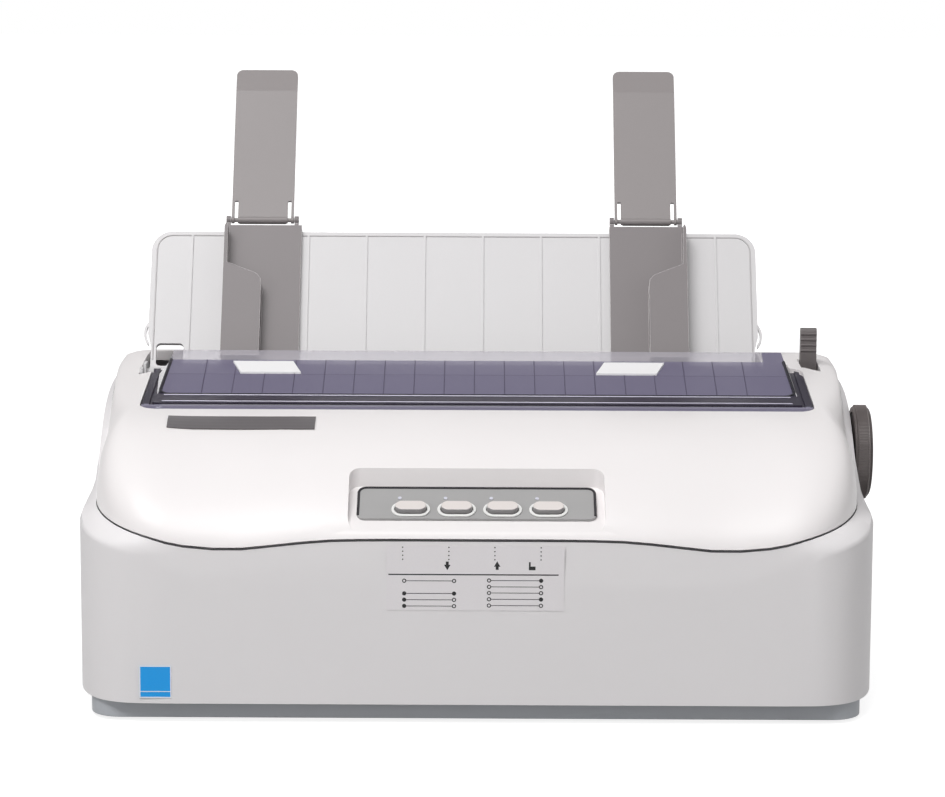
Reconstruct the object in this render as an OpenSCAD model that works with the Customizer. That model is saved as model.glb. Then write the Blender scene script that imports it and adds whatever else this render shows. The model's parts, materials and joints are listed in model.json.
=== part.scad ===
// Desktop dot matrix printer, made of its separate pieces.
// X runs to the right, Y from the front to the back and Z up; the rubber feet stand on Z = 0.
// Inside the modules Y = 0 is the front face of the casing and X = 0 its middle;
// place() then moves everything so that the origin is under the middle of the whole machine.

/* [Casing] */
// Width of the lower case
case_w = 417; // [390:1:520]
// Depth of the casing
case_d = 285; // [275:1:350]
// Height of the lower case's underside above the table
base_z = 11; // [9:0.5:16]
// Height of the seam at the middle of the front
seam_z = 97.3; // [92:0.1:104]
// Height of the cover at the front edge of the lid
cover_z = 147; // [143:0.5:158]
// Wall thickness of the casing
wall = 2.5; // [2:0.1:3]
// How far the cover stands in from the sides of the case
shoulder = 8; // [6:0.5:10]
// Open line between case and cover
seam_gap = 0.6; // [0.3:0.1:0.9]
// How far the plinth stands in from the case
plinth_in = 8.5; // [6:0.5:10]
// Diameter of a foot
foot_d = 18; // [12:1:24]
// Height of a foot below the plinth
foot_h = 2; // [1.5:0.1:3]

/* [Lid] */
// Width of the lid
lid_w = 364.6; // [350:0.2:366]
// Distance of the lid's front edge from the front of the case
lid_y = 105; // [100:0.5:108]
// Depth of the lid's frame
lid_d = 80; // [76:0.5:82]
// Slope of the lid
lid_slope = 6.5; // [5:0.5:8]
// Thickness of the lid
lid_t = 2.2; // [1.8:0.1:2.6]
// Width of the raised window
hood_w = 342; // [330:1:344]
// Rise of the window's rear edge above the slope of the lid
hood_rise = 9; // [7:0.5:11]

/* [Control panel] */
// Width of the recess
panel_w = 132; // [126:1:150]
// Slope of the panel
panel_slope = 28; // [24:1:32]
// Length of a button
button_w = 16; // [13:0.5:19]
// Width of a button
button_d = 7.5; // [6:0.5:8]
// Distance between buttons
button_pitch = 23.6; // [22:0.2:27]
// Travel of a button
button_travel = 1.2; // [0.8:0.1:1.5]

/* [Platen] */
// Diameter of the platen
platen_d = 32; // [26:0.5:36]
// Height of the platen's axis
platen_z = 117; // [115:0.5:119]
// Distance of the platen's axis from the front of the case
platen_y = 150; // [146:0.5:154]
// Diameter of the platen's shaft
shaft_d = 8; // [6:0.5:9]
// Diameter of the platen knob
knob_d = 52; // [42:1:58]
// Thickness of the platen knob
knob_t = 9.5; // [8:0.5:14]

/* [Print carriage] */
// Diameter of the carriage rod
rod_d = 10; // [8:0.5:12]
// Diameter of the belt pulleys
pulley_d = 14; // [12:0.5:17]

/* [Sheet guide] */
// Width of the sheet guide
guide_w = 345; // [330:1:346]
// Height of the sheet guide along its slope
guide_len = 89; // [80:1:98]
// Slope of the sheet guide
guide_slope = 58; // [52:1:62]
// Thickness of the sheet guide
guide_t = 3; // [2.5:0.1:3.5]
// Width of an edge guide
edge_w = 44; // [43:0.5:52]
// Length of a flap
flap_len = 99; // [84:1:115]
// Width of a flap
flap_w = 36; // [30:0.5:38]

/* [Gears] */
// Tooth size of the gears
gear_module = 1; // [0.9:0.05:1]
// Thickness of a gear
gear_t = 5; // [4:0.2:6]

/* [Hidden] */

fit = 0.05;            // radial clearance of a running fit
half_w = case_w / 2;

// Outlines: q runs 0 to 1 along the front, 1 to 2 round the front corner, 2 to 3 along the side,
// 3 to 4 round the rear corner and 4 to 5 along the back to the middle.
case_flat = half_w - 48.5;
cover_flat = half_w - 58.5;
corner_y = 75;
rear_r = 20;
lid_r = 9;
lid_cut = 0.3;
front_in = 1;
steps_corner = 14;
qs = concat([for (i = [0:9]) i / 10], [for (i = [0:steps_corner - 1]) 1 + i / steps_corner],
    [for (i = [0:13]) 2 + i / 14], [for (i = [0:4]) 3 + i / 5], [for (i = [0:5]) 4 + i / 5]);

function mix(a, b, t) = a + (b - a) * t;
function grade(k, i) = i == 0 || i == len(k) - 1 ? 0 : (k[i + 1][1] - k[i - 1][1]) / (k[i + 1][0] - k[i - 1][0]);
// value at s on the smooth curve through the stations k = [[s, value], ...]
function track(k, s, i = 0) =
    s <= k[0][0] ? k[0][1] : s >= k[len(k) - 1][0] ? k[len(k) - 1][1] : s > k[i + 1][0] ? track(k, s, i + 1) :
    let (w = k[i + 1][0] - k[i][0], t = (s - k[i][0]) / w)
    k[i][1] * (2 * t ^ 3 - 3 * t ^ 2 + 1) + grade(k, i) * w * (t ^ 3 - 2 * t ^ 2 + t)
    + k[i + 1][1] * (3 * t ^ 2 - 2 * t ^ 3) + grade(k, i + 1) * w * (t ^ 3 - t ^ 2);

function outline(q, flat, hw, y0, cy, n, rr, yr) =
    q <= 1 ? [flat * q, y0] :
    q <= 2 ? [mix(flat, hw, sin((q - 1) * 90) ^ (2 / n)), mix(y0, cy, 1 - cos((q - 1) * 90) ^ (2 / n))] :
    q <= 3 ? [hw, mix(cy, yr, q - 2)] :
    q <= 4 ? [hw - rr * (1 - cos((q - 3) * 90)), yr + rr * sin((q - 3) * 90)] :
    [(hw - rr) * (5 - q), yr + rr];
function case_xy(q, d = 0) = outline(q, case_flat, half_w - d, d, corner_y, 3.2, rear_r - min(d, 15), case_d - max(rear_r, d + 5));
// the cover stands in by the whole shoulder at the front and by little at the rear
shoulder_line = [[2, 1], [2.35, 0.95], [2.6, 0.6], [2.85, 0.25], [5, 0.2]];
function cover_xy(q, d = 0) = outline(q, cover_flat, half_w - shoulder * track(shoulder_line, q) - d, front_in + d, corner_y, 2.6,
    rear_r - shoulder * 0.2 - d, case_d - rear_r);
function lid_xy(q, d = 0) = let (hw = lid_w / 2 + lid_cut - d, y0 = lid_y - lid_cut + d, y1 = lid_y + lid_d + 7 - d, r = lid_r - d,
        f = q < 1.5 ? 0 : (q - 1.5) * 180)
    q <= 1 ? [cover_flat * q, y0] :
    q <= 1.5 ? [mix(cover_flat, hw - r, (q - 1) * 2), y0] :
    q <= 2 ? [hw - r + r * sin(f), y0 + r - r * cos(f)] :
    q <= 3 ? [hw, mix(y0 + r, y1 - r, q - 2)] :
    q <= 4 ? [hw - r + r * cos((q - 3) * 90), y1 - r + r * sin((q - 3) * 90)] :
    [(hw - r) * (5 - q), y1];

// heights round the casing, as shares of the rise from the seam to the lid
rise = cover_z - seam_z;
seam_line = [[0, 0], [0.46, -0.006], [0.61, -0.038], [0.83, -0.106], [1, -0.076], [1.12, -0.016], [1.36, 0.068],
    [1.7, 0.16], [2, 0.21], [2.14, 0.34], [2.25, 0.64], [2.38, 0.93], [2.55, 1.02], [2.8, 1.0], [3.2, 0.86], [5, 0.82]];
crease_line = [[0, -0.55], [0.85, -0.45], [1, -0.27], [1.17, -0.13], [1.8, 0.05], [2.1, 0.09], [2.4, 0.24],
    [2.6, 0.5], [3, 0.62], [5, 0.62]];
// where the band between crease and seam turns in
band_in = [[0, 0.56], [2, 0.56], [2.25, 0.4], [5, 0.4]];
band_up = [[0, 0.5], [2, 0.5], [2.25, 0.85], [5, 0.85]];
function seam_h(q) = seam_z + rise * track(seam_line, q);
function crease_h(q) = seam_z + rise * track(crease_line, q);
function lid_h(y) = cover_z + (y - lid_y) * tan(lid_slope);
// share of the way up at share h of the way in, for the cover's curved section
curl_in = [[0, 1], [1.4, 0.95], [2, 0.8], [2.4, 0.75], [2.7, 0.5], [5, 0.5]];
curl_up = [[0, 1.5], [1, 1.45], [1.4, 1.2], [1.8, 0.9], [2.2, 0.75], [2.7, 0.5], [5, 0.5]];
function curl_h(q, a) = 1 - cos(a) ^ track(curl_in, q);
function curl_v(q, a) = sin(a) ^ track(curl_up, q);

// a ring of points all the way round: at(q, side) gives [x, y, z] on the right half
function ring(at) = concat([for (q = qs) at(q, 1)],
    [for (i = [len(qs) - 2:-1:1]) let (p = at(qs[i], -1)) [-p[0], p[1], p[2]]]);
// closed tube through the rings, the last one joined to the first
module loft(rings) {
    n = len(rings[0]);
    m = len(rings);
    polyhedron([for (r = rings) each r], [for (k = [0:m - 1], i = [0:n - 1])
        let (a = k * n + i, b = k * n + (i + 1) % n, c = ((k + 1) % m) * n + (i + 1) % n, d = ((k + 1) % m) * n + i)
        each [[a, d, c], [a, c, b]]], convexity = 8);
}
function up(p, z) = [p[0], p[1], z];

// Where things stand
guide_x = -14;                  // middle of the paper path
frame_l = guide_x - guide_w / 2 - 1.5;  // inner face of the left side frame
frame_r = guide_x + guide_w / 2 + 1.5;  // inner face of the right side frame
frame_t = 1.6;
pan_z = 10;
pan_t = 1.2;
rod_y = 100;
rod_z = 92;
gear_x = frame_l + 4;
platen_l = frame_l + 16;
platen_r = frame_r - 12;
knob_x = half_w - 1.2;         // inner face, in a shallow seat in the case
knob_end = knob_x + knob_t;
hinge_y = lid_y + lid_d + 1;    // lid hinge
hinge_z = cover_z + 4;
hinge_pin_d = 4;
guide_y = 208;                  // sheet guide hinge
guide_z = 150;
guide_pin_d = 5;
flap_u = guide_len + 6.5;       // flap hinge along the guide's slope
flap_pin_d = 2.4;
left_edge_x = guide_x - guide_w / 2 + 62.5;
right_edge_x = guide_x + guide_w / 2 - 60.5;
entry_y0 = lid_y + lid_d - 5;   // paper entry behind the lid
entry_y1 = case_d - 35;
lever_x = half_w - 19.5;        // middle of the release lever
lever_y = 219;
lever_z = 125;
lever_top = 176;
top_y = guide_y + (flap_u + flap_len) * cos(guide_slope) + 3.5;
shift_x = (knob_end - half_w) / 2;
shift_y = top_y / 2;

module place() translate([-shift_x, -shift_y, 0]) children();
module along_x(x0, x1) translate([x0, 0, 0]) rotate([90, 0, 90]) linear_extrude(x1 - x0) children();
module rod(d, x0, x1, y, z) translate([x0, y, z]) rotate([0, 90, 0]) cylinder(d = d, h = x1 - x0, $fn = 48);
module block(x0, x1, y0, y1, z0, z1) translate([x0, y0, z0]) cube([x1 - x0, y1 - y0, z1 - z0]);
module rounded(w, d, r) {
    square([w - 2 * r, d], center = true);
    square([w, d - 2 * r], center = true);
    for (i = [-1, 1], j = [-1, 1]) translate([i * (w / 2 - r), j * (d / 2 - r)]) circle(r, $fn = 48);
}

// ---- casing ----
tray_t = 2.5;
module base_tray() color([0.48, 0.5, 0.52]) {
    w = case_w - 2 * plinth_in;
    d = case_d - 2 * plinth_in + 2;
    difference() {
        translate([0, case_d / 2 - 1, foot_h]) linear_extrude(base_z - foot_h) rounded(w, d, 16);
        translate([0, case_d / 2 - 1, foot_h + tray_t]) linear_extrude(base_z) rounded(w - 2 * tray_t, d - 2 * tray_t, 13.5);
        for (i = [-4:4]) translate([i * 30, case_d / 2, foot_h + tray_t / 2]) cube([4, case_d * 0.4, tray_t * 2], center = true);
    }
    for (p = pan_posts) translate([p[0], p[1], foot_h + tray_t - 0.2]) cylinder(d = 9, h = pan_z - foot_h - tray_t + 0.2, $fn = 32);
}
pan_posts = [for (x = [frame_l + 12, guide_x, frame_r - 12], y = [42, case_d - 36]) [x, y]];
foot_x = half_w - plinth_in - 26;
module rubber_feet() color([0.13, 0.13, 0.14])
    for (x = [-foot_x, foot_x], y = [36, case_d - 36]) translate([x, y, 0])
        rotate_extrude($fn = 64) polygon([[0, 0], [foot_d / 2 - 0.8, 0], [foot_d / 2, 0.8], [foot_d / 2, foot_h], [0, foot_h]]);

flange = 12;
flange_t = 3;
port_z = 40;
module lower_case() color([0.83, 0.82, 0.82]) difference() {
    loft([
        ring(function (q, s) up(case_xy(q), base_z)),
        ring(function (q, s) up(case_xy(q), crease_h(q) - 1.5)),
        ring(function (q, s) up(mix(case_xy(q), cover_xy(q), 0.12), crease_h(q) + 1.3)),
        ring(function (q, s) up(mix(case_xy(q), cover_xy(q), track(band_in, q)), mix(crease_h(q) + 1.3, seam_h(q), track(band_up, q)))),
        ring(function (q, s) up(cover_xy(q), seam_h(q))),
        ring(function (q, s) up(cover_xy(q, wall), seam_h(q))),
        ring(function (q, s) up(case_xy(q, wall), crease_h(q) - 2)),
        ring(function (q, s) up(case_xy(q, wall), base_z + flange_t)),
        ring(function (q, s) up(case_xy(q, flange), base_z + flange_t)),
        ring(function (q, s) up(case_xy(q, flange), base_z))]);
    rod(shaft_d + 4, half_w - 14, half_w + 5, platen_y, platen_z);
    rod(knob_d + 3, knob_x - 0.4, half_w + 5, platen_y, platen_z);
    block(inlet_x - 14.5, inlet_x + 14.5, case_d - 5, case_d + 1, port_z - 11, port_z + 11);
    block(switch_x - 7.5, switch_x + 7.5, case_d - 5, case_d + 1, port_z - 11, port_z + 11);
    block(port_x - 31, port_x + 31, case_d - 5, case_d + 1, port_z - 8.5, port_z + 8.5);
    block(usb_x - 7.5, usb_x + 7.5, case_d - 5, case_d + 1, port_z - 7.5, port_z + 7.5);
}

lip = 3.2;              // depth of the seat that the lid's frame lies in
ledge = 5;
ledge_t = 2.2;
cover_as = [for (i = [0:11]) i * 7.5];
function cover_pt(q, a) = let (p = mix(cover_xy(q), lid_xy(q), curl_h(q, a)))
    up(p, mix(seam_h(q) + seam_gap, lid_h(lid_xy(q)[1]), curl_v(q, a)));
function inner_pt(q, a) = let (p = mix(cover_xy(q, wall), lid_xy(q, -1), curl_h(q, a)))
    up(p, mix(seam_h(q) + seam_gap, lid_h(lid_xy(q)[1]) - lip - ledge_t, curl_v(q, a)));
function rim_pt(q, d, drop) = let (p = lid_xy(q, d)) up(p, lid_h(p[1]) - drop);
// section of the cover's front, from the seam to the lid, drop below its surface
function front_section(drop, y0, y1) = [for (a = [0:3:90]) let (p = cover_pt(0, a)) if (p[1] >= y0 && p[1] <= y1) [p[1], p[2] - drop]];
recess_y0 = 6;
recess_y1 = 34;
recess_z = seam_z + 7.6;        // the panel's floor at its front edge
function floor_z(y) = recess_z + (y - recess_y0) * tan(panel_slope) - 1.2;
module upper_cover() color([0.95, 0.95, 0.95]) difference() {
    union() {
        loft(concat([for (a = cover_as) ring(function (q, s) cover_pt(q, a))], [
            ring(function (q, s) rim_pt(q, 0, 0)),
            ring(function (q, s) rim_pt(q, 0, lip)),
            ring(function (q, s) rim_pt(q, ledge, lip)),
            ring(function (q, s) rim_pt(q, ledge, lip + ledge_t)),
            ring(function (q, s) rim_pt(q, -1, lip + ledge_t))],
            [for (a = [75, 60, 45, 30, 15, 0]) ring(function (q, s) inner_pt(q, a))]));
        along_x(-panel_w / 2 - wall, panel_w / 2 + wall) polygon(concat(front_section(0.8, 2, recess_y1 + 5),
            [[recess_y1 + wall, floor_z(recess_y1 + wall) - wall], [recess_y0 - 2, floor_z(recess_y0 - 2) - wall]]));
    }
    recess_cutter();
    block(frame_l - frame_t - 0.4, frame_r + frame_t + 0.4, entry_y0, entry_y1, seam_z, cover_z + 30);
    block(frame_r, hood_w / 2 + 5, entry_y0, hood_y1 + 15, seam_z, cover_z + 30);
    block(lever_x - 5.7, lever_x + 5.7, 198, 226, seam_z, cover_z + 30);
}
module recess_cutter() intersection() {
    translate([0, (recess_y0 + recess_y1) / 2 - 2, seam_z]) linear_extrude(60) rounded(panel_w, recess_y1 - recess_y0 + 4, 6);
    along_x(-panel_w, panel_w) polygon([[-20, floor_z(-20)], [80, floor_z(80)], [80, 220], [-20, 220]]);
}

// things on the panel are drawn flat and tilted onto its floor: y runs up the slope, z out of it
module on_panel() translate([0, recess_y0, floor_z(recess_y0)]) rotate([panel_slope, 0, 0]) children();
plate_t = 1.5;
plate_y = 16.5;
button_x = 1.5;
button_xs = [for (i = [-1.5:1.5]) button_x + i * button_pitch];
button_y = 10.9;
lamp_dx = -5.8;
lamp_dy = 9.4;
module stadium(w, d) { square([w - d, d], center = true); for (i = [-1, 1]) translate([i * (w - d) / 2, 0]) circle(d = d, $fn = 48); }
module control_panel() color([0.66, 0.66, 0.66]) on_panel() difference() {
    translate([0, plate_y, 0.05]) linear_extrude(plate_t) rounded(panel_w - 9, 25, 4);
    for (x = button_xs) {
        translate([x, button_y, -1]) linear_extrude(5) stadium(button_w + 0.8, button_d + 0.8);
        translate([x + lamp_dx, button_y + lamp_dy, -1]) cylinder(d = 2.1, h = 5, $fn = 24);
    }
}
module button_bezels() color([0.93, 0.93, 0.92]) on_panel()
    for (x = button_xs) translate([x, button_y, plate_t + 0.05]) linear_extrude(0.9) difference() {
        stadium(button_w + 4, button_d + 4);
        stadium(button_w + 0.8, button_d + 0.8);
    }
module indicator_lights() color([0.35, 0.75, 0.35]) on_panel()
    for (x = button_xs) translate([x + lamp_dx, button_y + lamp_dy, 0.1]) cylinder(d = 2, h = plate_t + 0.3, $fn = 24);
module button(i) color([0.9, 0.89, 0.87]) on_panel() translate([button_xs[i], button_y, 0.15 + button_travel])
    linear_extrude(3.6) stadium(button_w, button_d);

// a thin plate that follows the cover's front, from badge_q0 out to badge_q1 along the outline
badge_q0 = 0.573;
badge_q1 = 1.258;
badge_a0 = 69.7;
badge_a1 = 79.6;
badge_n = 12;
function off_cover(q, a, h) = let (p = cover_pt(q, a), n = cross(cover_pt(q, a + 1) - p, p - cover_pt(q + 0.02, a))) p + h * n / norm(n);
module badge_plate() color([0.38, 0.37, 0.37]) mirror([1, 0, 0]) {
    m = 5;
    pts = [for (h = [0.1, 0.7], j = [0:m - 1], i = [0:badge_n])
        let (a = mix(badge_a0, badge_a1, j / (m - 1))) off_cover(mix(badge_q0, badge_q1 + 0.0048 * (a - badge_a1), i / badge_n), a, h)];
    w = badge_n + 1;
    top = m * w;
    edge = concat([for (i = [0:badge_n]) i], [for (j = [1:m - 1]) j * w + badge_n],
        [for (i = [badge_n - 1:-1:0]) (m - 1) * w + i], [for (j = [m - 2:-1:1]) j * w]);
    polyhedron(pts, concat(
        [for (j = [0:m - 2], i = [0:badge_n - 1]) let (k = j * w + i) each [[k, k + w + 1, k + 1], [k, k + w, k + w + 1]]],
        [for (j = [0:m - 2], i = [0:badge_n - 1]) let (k = top + j * w + i) each [[k, k + 1, k + w + 1], [k, k + w + 1, k + w]]],
        [for (e = [0:len(edge) - 1]) let (c = edge[e], d = edge[(e + 1) % len(edge)]) each [[c, d + top, c + top], [c, d, d + top]]]));
}
label_t = 0.3;
module legend_label() color([0.85, 0.85, 0.85]) block(-46, 45, -label_t - 0.05, -0.05, seam_z - 36.5, seam_z - 2.8);
module rating_label() color([0.05, 0.48, 0.75]) block(35.5 - half_w, 52 - half_w, -label_t - 0.05, -0.05, 14, 31);

// ---- lid: its sections lie in the YZ plane, along the slope of the cover ----
lug_t = 3;
left_lug = -lid_w / 2 + 0.5;
right_lug = frame_r - 6;
crease_y = mix(lid_y, lid_y + lid_d, 0.65);
hood_y0 = lid_y + 25;
hood_y1 = lid_y + lid_d + 5;
crease_up = hood_rise * 0.49;
hood_draft = 13;        // lean of the hood's side walls
function hood_z(y) = y < crease_y ? lid_h(y) + crease_up * (y - hood_y0) / (crease_y - hood_y0)
    : lid_h(y) + mix(crease_up, hood_rise, (y - crease_y) / (hood_y1 - crease_y));
module lid_slab(x0, x1, y0, y1, low, high) along_x(x0, x1)
    polygon([[y0, lid_h(y0) + low], [y1, lid_h(y1) + low], [y1, lid_h(y1) + high], [y0, lid_h(y0) + high]]);
module hood_sheet(x0, x1, low, high) along_x(x0, x1) polygon([for (y = [hood_y0, crease_y, hood_y1]) [y, hood_z(y) + high],
    for (y = [hood_y1, crease_y, hood_y0]) [y, hood_z(y) + low]]);
// everything beyond the hood's outer face on side s, which stands out towards the bottom; deep is how far in that face is moved
module beyond_hood(s, deep = 0) translate([s * (hood_w / 2 - deep), 0, hood_z(hood_y1)]) rotate([0, -s * hood_draft, 0])
    block(min(0, s * 60), max(0, s * 60), hood_y0 - 20, hood_y1 + 20, -60, 30);
module hood_wall(s) difference() {
    intersection() {
        along_x(-lid_w / 2, lid_w / 2) polygon([[hood_y0, lid_h(hood_y0) - lip + 1], [lid_y + lid_d - 0.6, lid_h(lid_y + lid_d) - lip + 1],
            [hood_y1, hood_z(hood_y1) - 4], for (y = [hood_y1, crease_y, hood_y0]) [y, hood_z(y) + 0.3]]);
        beyond_hood(s, lid_t);
    }
    beyond_hood(s);
}
module smoked_lid() color([0.43, 0.4, 0.5, 0.6]) difference() {
    union() {
        intersection() {
            union() {
                lid_slab(-lid_w / 2, lid_w / 2, lid_y, hood_y0, -lip + 0.4, -lip + 0.4 + lid_t);
                lid_slab(-lid_w / 2, lid_w / 2, lid_y + 3.5, lid_y + 6, -lip + lid_t, -lip + lid_t + 1.5);
                lid_slab(-hood_w / 2 - 5, hood_w / 2 + 5, lid_y + 9, hood_y0 + 1, -lip + lid_t, 0.9);
                for (s = [-1, 1]) {
                    lid_slab(min(s * (hood_w / 2 - 1), s * lid_w / 2), max(s * (hood_w / 2 - 1), s * lid_w / 2), lid_y + 1,
                        lid_y + lid_d, -lip + 0.4, -lip + 0.4 + lid_t);
                    lid_slab(min(s * (lid_w / 2 - 4.5), s * (lid_w / 2 - 2)), max(s * (lid_w / 2 - 4.5), s * (lid_w / 2 - 2)),
                        lid_y + 3.5, lid_y + lid_d, -lip + lid_t, -lip + lid_t + 1.5);
                }
            }
            translate([0, lid_y + lid_d / 2, 0]) linear_extrude(300) rounded(lid_w, lid_d, lid_r);
        }
        difference() {
            hood_sheet(-lid_w / 2, lid_w / 2, 0.4 - lid_t, 0.4);
            beyond_hood(-1);
            beyond_hood(1);
        }
        hood_wall(-1);
        hood_wall(1);
        for (x = [left_lug, right_lug]) {
            rod(10, x, x + lug_t, hinge_y, hinge_z);
            block(x, x + lug_t, hinge_y - 5, hinge_y + 3, hinge_z, lid_h(hinge_y) + (x > 0 ? hood_rise - 2 : -lip + 1));
        }
    }
    for (x = [left_lug, right_lug]) rod(hinge_pin_d + 2 * fit, x - 1, x + lug_t + 1, hinge_y, hinge_z);
}
tab_w = 33.5;
tab_skew = 5;           // outward, from the tab's front edge to its rear edge
tab_y1 = mix(crease_y, hood_y1, 0.47);
tab_xs = [-114.5, 82.5];
module lid_tabs() color([0.93, 0.92, 0.92]) for (x = tab_xs) intersection() {
    along_x(x - tab_w, x + tab_w) polygon([for (y = [crease_y - 1, tab_y1 + 1]) [y, hood_z(y) + 1.5], for (y = [tab_y1 + 1, crease_y - 1]) [y, hood_z(y) + 0.45]]);
    translate([x, 0, 0]) linear_extrude(300) polygon([[-tab_w / 2, crease_y + 0.5], [tab_w / 2, crease_y + 0.5],
        [tab_w / 2 + sign(x) * tab_skew, tab_y1], [-tab_w / 2 + sign(x) * tab_skew, tab_y1]]);
}

// ---- frames ----
module hinge_pins() color([0.75, 0.76, 0.78]) {
    rod(hinge_pin_d, frame_l + 0.1, left_lug + lug_t + 1, hinge_y, hinge_z);
    rod(hinge_pin_d, right_lug - 1, frame_r - 0.1, hinge_y, hinge_z);
}
module chassis_pan() color([0.72, 0.74, 0.76]) difference() {
    union() {
        block(frame_l, frame_r, 30, case_d - 24, pan_z, pan_z + pan_t);
        block(frame_l, frame_r, 30, 30 + pan_t, pan_z, pan_z + 14);
        block(frame_l, frame_r, case_d - 24 - pan_t, case_d - 24, pan_z, pan_z + 14);
    }
    for (p = pan_posts) translate([p[0], p[1], 0]) cylinder(d = 3.4, h = 40, $fn = 32);
    for (i = [-3:3]) translate([guide_x + i * 40, 140, pan_z + pan_t / 2]) cube([22, 60, 4], center = true);
}
pinch_d = 12;
pinch_a = -45;
pinch_y = platen_y + (platen_d + pinch_d + 0.6) / 2 * cos(pinch_a);
pinch_z = platen_z + (platen_d + pinch_d + 0.6) / 2 * sin(pinch_a);
tractor_y = platen_y + 75 * gear_module;
tractor_z = platen_z;
trod_y = 200;
trod_z = 100;
bush_d = 14;
module side_frame(x0) difference() {
    along_x(x0, x0 + frame_t) polygon([[56, pan_z], [case_d - 24, pan_z], [case_d - 24, 95], [245, 128], [222, 153], [guide_y + 5, 156],
        [guide_y - 5, 156], [guide_y - 7, cover_z + 2], [hinge_y + 4.5, cover_z + 2], [hinge_y + 3.5, cover_z + 9.5], [hinge_y - 3.5, cover_z + 9.5],
        [hinge_y - 4.5, 138], [128, 138], [118, 128], [60, 128], [52, 118], [52, 100]]);
    rod(rod_d + 2 * fit, x0 - 1, x0 + 3, rod_y, rod_z);
    rod(bush_d + 2 * fit, x0 - 1, x0 + 3, platen_y, platen_z);
    rod(6 + 2 * fit, x0 - 1, x0 + 3, tractor_y, tractor_z);
    rod(6 + 2 * fit, x0 - 1, x0 + 3, trod_y, trod_z);
    rod(guide_pin_d + 2 * fit, x0 - 1, x0 + 3, guide_y, guide_z);
    rod(40, x0 - 1, x0 + 3, 100, 48);
    rod(40, x0 - 1, x0 + 3, 212, 54);
}
module left_side_frame() color([0.74, 0.76, 0.78]) side_frame(frame_l - frame_t);
module right_side_frame() color([0.74, 0.76, 0.78]) side_frame(frame_r);

// ---- platen and its drive ----
module platen_roller() color([0.12, 0.12, 0.13]) difference() {
    rod(platen_d, platen_l, platen_r, platen_y, platen_z);
    rod(shaft_d + 2 * fit, platen_l - 1, platen_r + 1, platen_y, platen_z);
}
module platen_shaft() color([0.8, 0.81, 0.83]) {
    rod(shaft_d, frame_l - frame_t - 2, knob_end - 2, platen_y, platen_z);
    for (x = [platen_l - 2.1, platen_r + 0.1]) difference() {
        rod(shaft_d + 6, x, x + 2, platen_y, platen_z);
        rod(shaft_d - 1, x - 1, x + 3, platen_y, platen_z);
    }
}
module platen_knob() color([0.34, 0.32, 0.32]) translate([knob_x, platen_y, platen_z]) rotate([0, 90, 0]) difference() {
    union() {
        rotate_extrude($fn = 96) polygon(concat([[0, 0], [knob_d / 2 - 4.5, 0], [knob_d / 2 - 1.2, 1.2]],
            [for (a = [0:15:90]) [knob_d / 2 - 6.2 + 5 * cos(a), knob_t - 5 + 5 * sin(a)]],
            [[knob_d / 2 - 9, knob_t], [knob_d / 2 - 11, knob_t - 1.5], [0, knob_t - 1.5]]));
        for (i = [0:47]) rotate(i * 7.5) translate([knob_d / 2 - 2.2, -0.7, 1.4]) cube([2.2, 1.4, knob_t - 5]);
        translate([0, 0, -6.5]) cylinder(d = shaft_d + 3.4, h = 8, $fn = 48);
    }
    translate([0, 0, -8]) cylinder(d = shaft_d + 2 * fit, h = knob_t + 6, $fn = 48);
}
function gear_r(teeth) = teeth * gear_module / 2;
// straight-sided teeth, slim enough to run freely
module gear(teeth, bore, phase) {
    r = gear_r(teeth);
    pitch = 360 / teeth;
    rotate([90, 0, 90]) linear_extrude(gear_t) difference() {
        polygon([for (i = [0:teeth - 1], k = [[-0.5, -1.15], [-0.27, -1.15], [-0.19, 0], [-0.1, 0.85], [0.1, 0.85], [0.19, 0], [0.27, -1.15]])
            let (a = phase + (i + k[0]) * pitch, d = r + k[1] * gear_module) [d * cos(a), d * sin(a)]]);
        circle(d = bore + 2 * fit, $fn = 48);
    }
}
platen_teeth = 48;
idler_teeth = 30;
pinion_teeth = 12;
tractor_idler_teeth = 27;
mesh_gap = 0.15;
idler_a = -100;
pinion_a = -40;
idler_y = platen_y + (gear_r(platen_teeth + idler_teeth) + mesh_gap) * cos(idler_a);
idler_z = platen_z + (gear_r(platen_teeth + idler_teeth) + mesh_gap) * sin(idler_a);
feed_y = idler_y + (gear_r(idler_teeth + pinion_teeth) + mesh_gap) * cos(pinion_a);
feed_z = idler_z + (gear_r(idler_teeth + pinion_teeth) + mesh_gap) * sin(pinion_a);
// phase of a gear in direction a from a neighbour that has a tooth at angle t
function meshed(teeth, from_teeth, from_phase, a) = a + 180 + 180 / teeth - (from_phase - a) * from_teeth / teeth;
idler_phase = meshed(idler_teeth, platen_teeth, 0, idler_a);
pinion_phase = meshed(pinion_teeth, idler_teeth, idler_phase, pinion_a);
tractor_idler_phase = meshed(tractor_idler_teeth, platen_teeth, 0, 0);
tractor_phase = meshed(platen_teeth, tractor_idler_teeth, tractor_idler_phase, 0);
module platen_gear() color([0.9, 0.88, 0.8]) translate([gear_x, platen_y, platen_z]) {
    gear(platen_teeth, shaft_d, 0);
    translate([gear_t, 0, 0]) rotate([0, 90, 0]) difference() {
        cylinder(d = shaft_d + 8, h = 2, $fn = 48);
        translate([0, 0, -1]) cylinder(d = shaft_d + 2 * fit, h = 4, $fn = 48);
    }
}
module idler_gear() color([0.9, 0.88, 0.8]) translate([gear_x, idler_y, idler_z]) gear(idler_teeth, 5, idler_phase);
module tractor_idler() color([0.9, 0.88, 0.8]) translate([gear_x, (platen_y + tractor_y) / 2, platen_z]) gear(tractor_idler_teeth, 5, tractor_idler_phase);
motor_shaft_d = 4;
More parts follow.
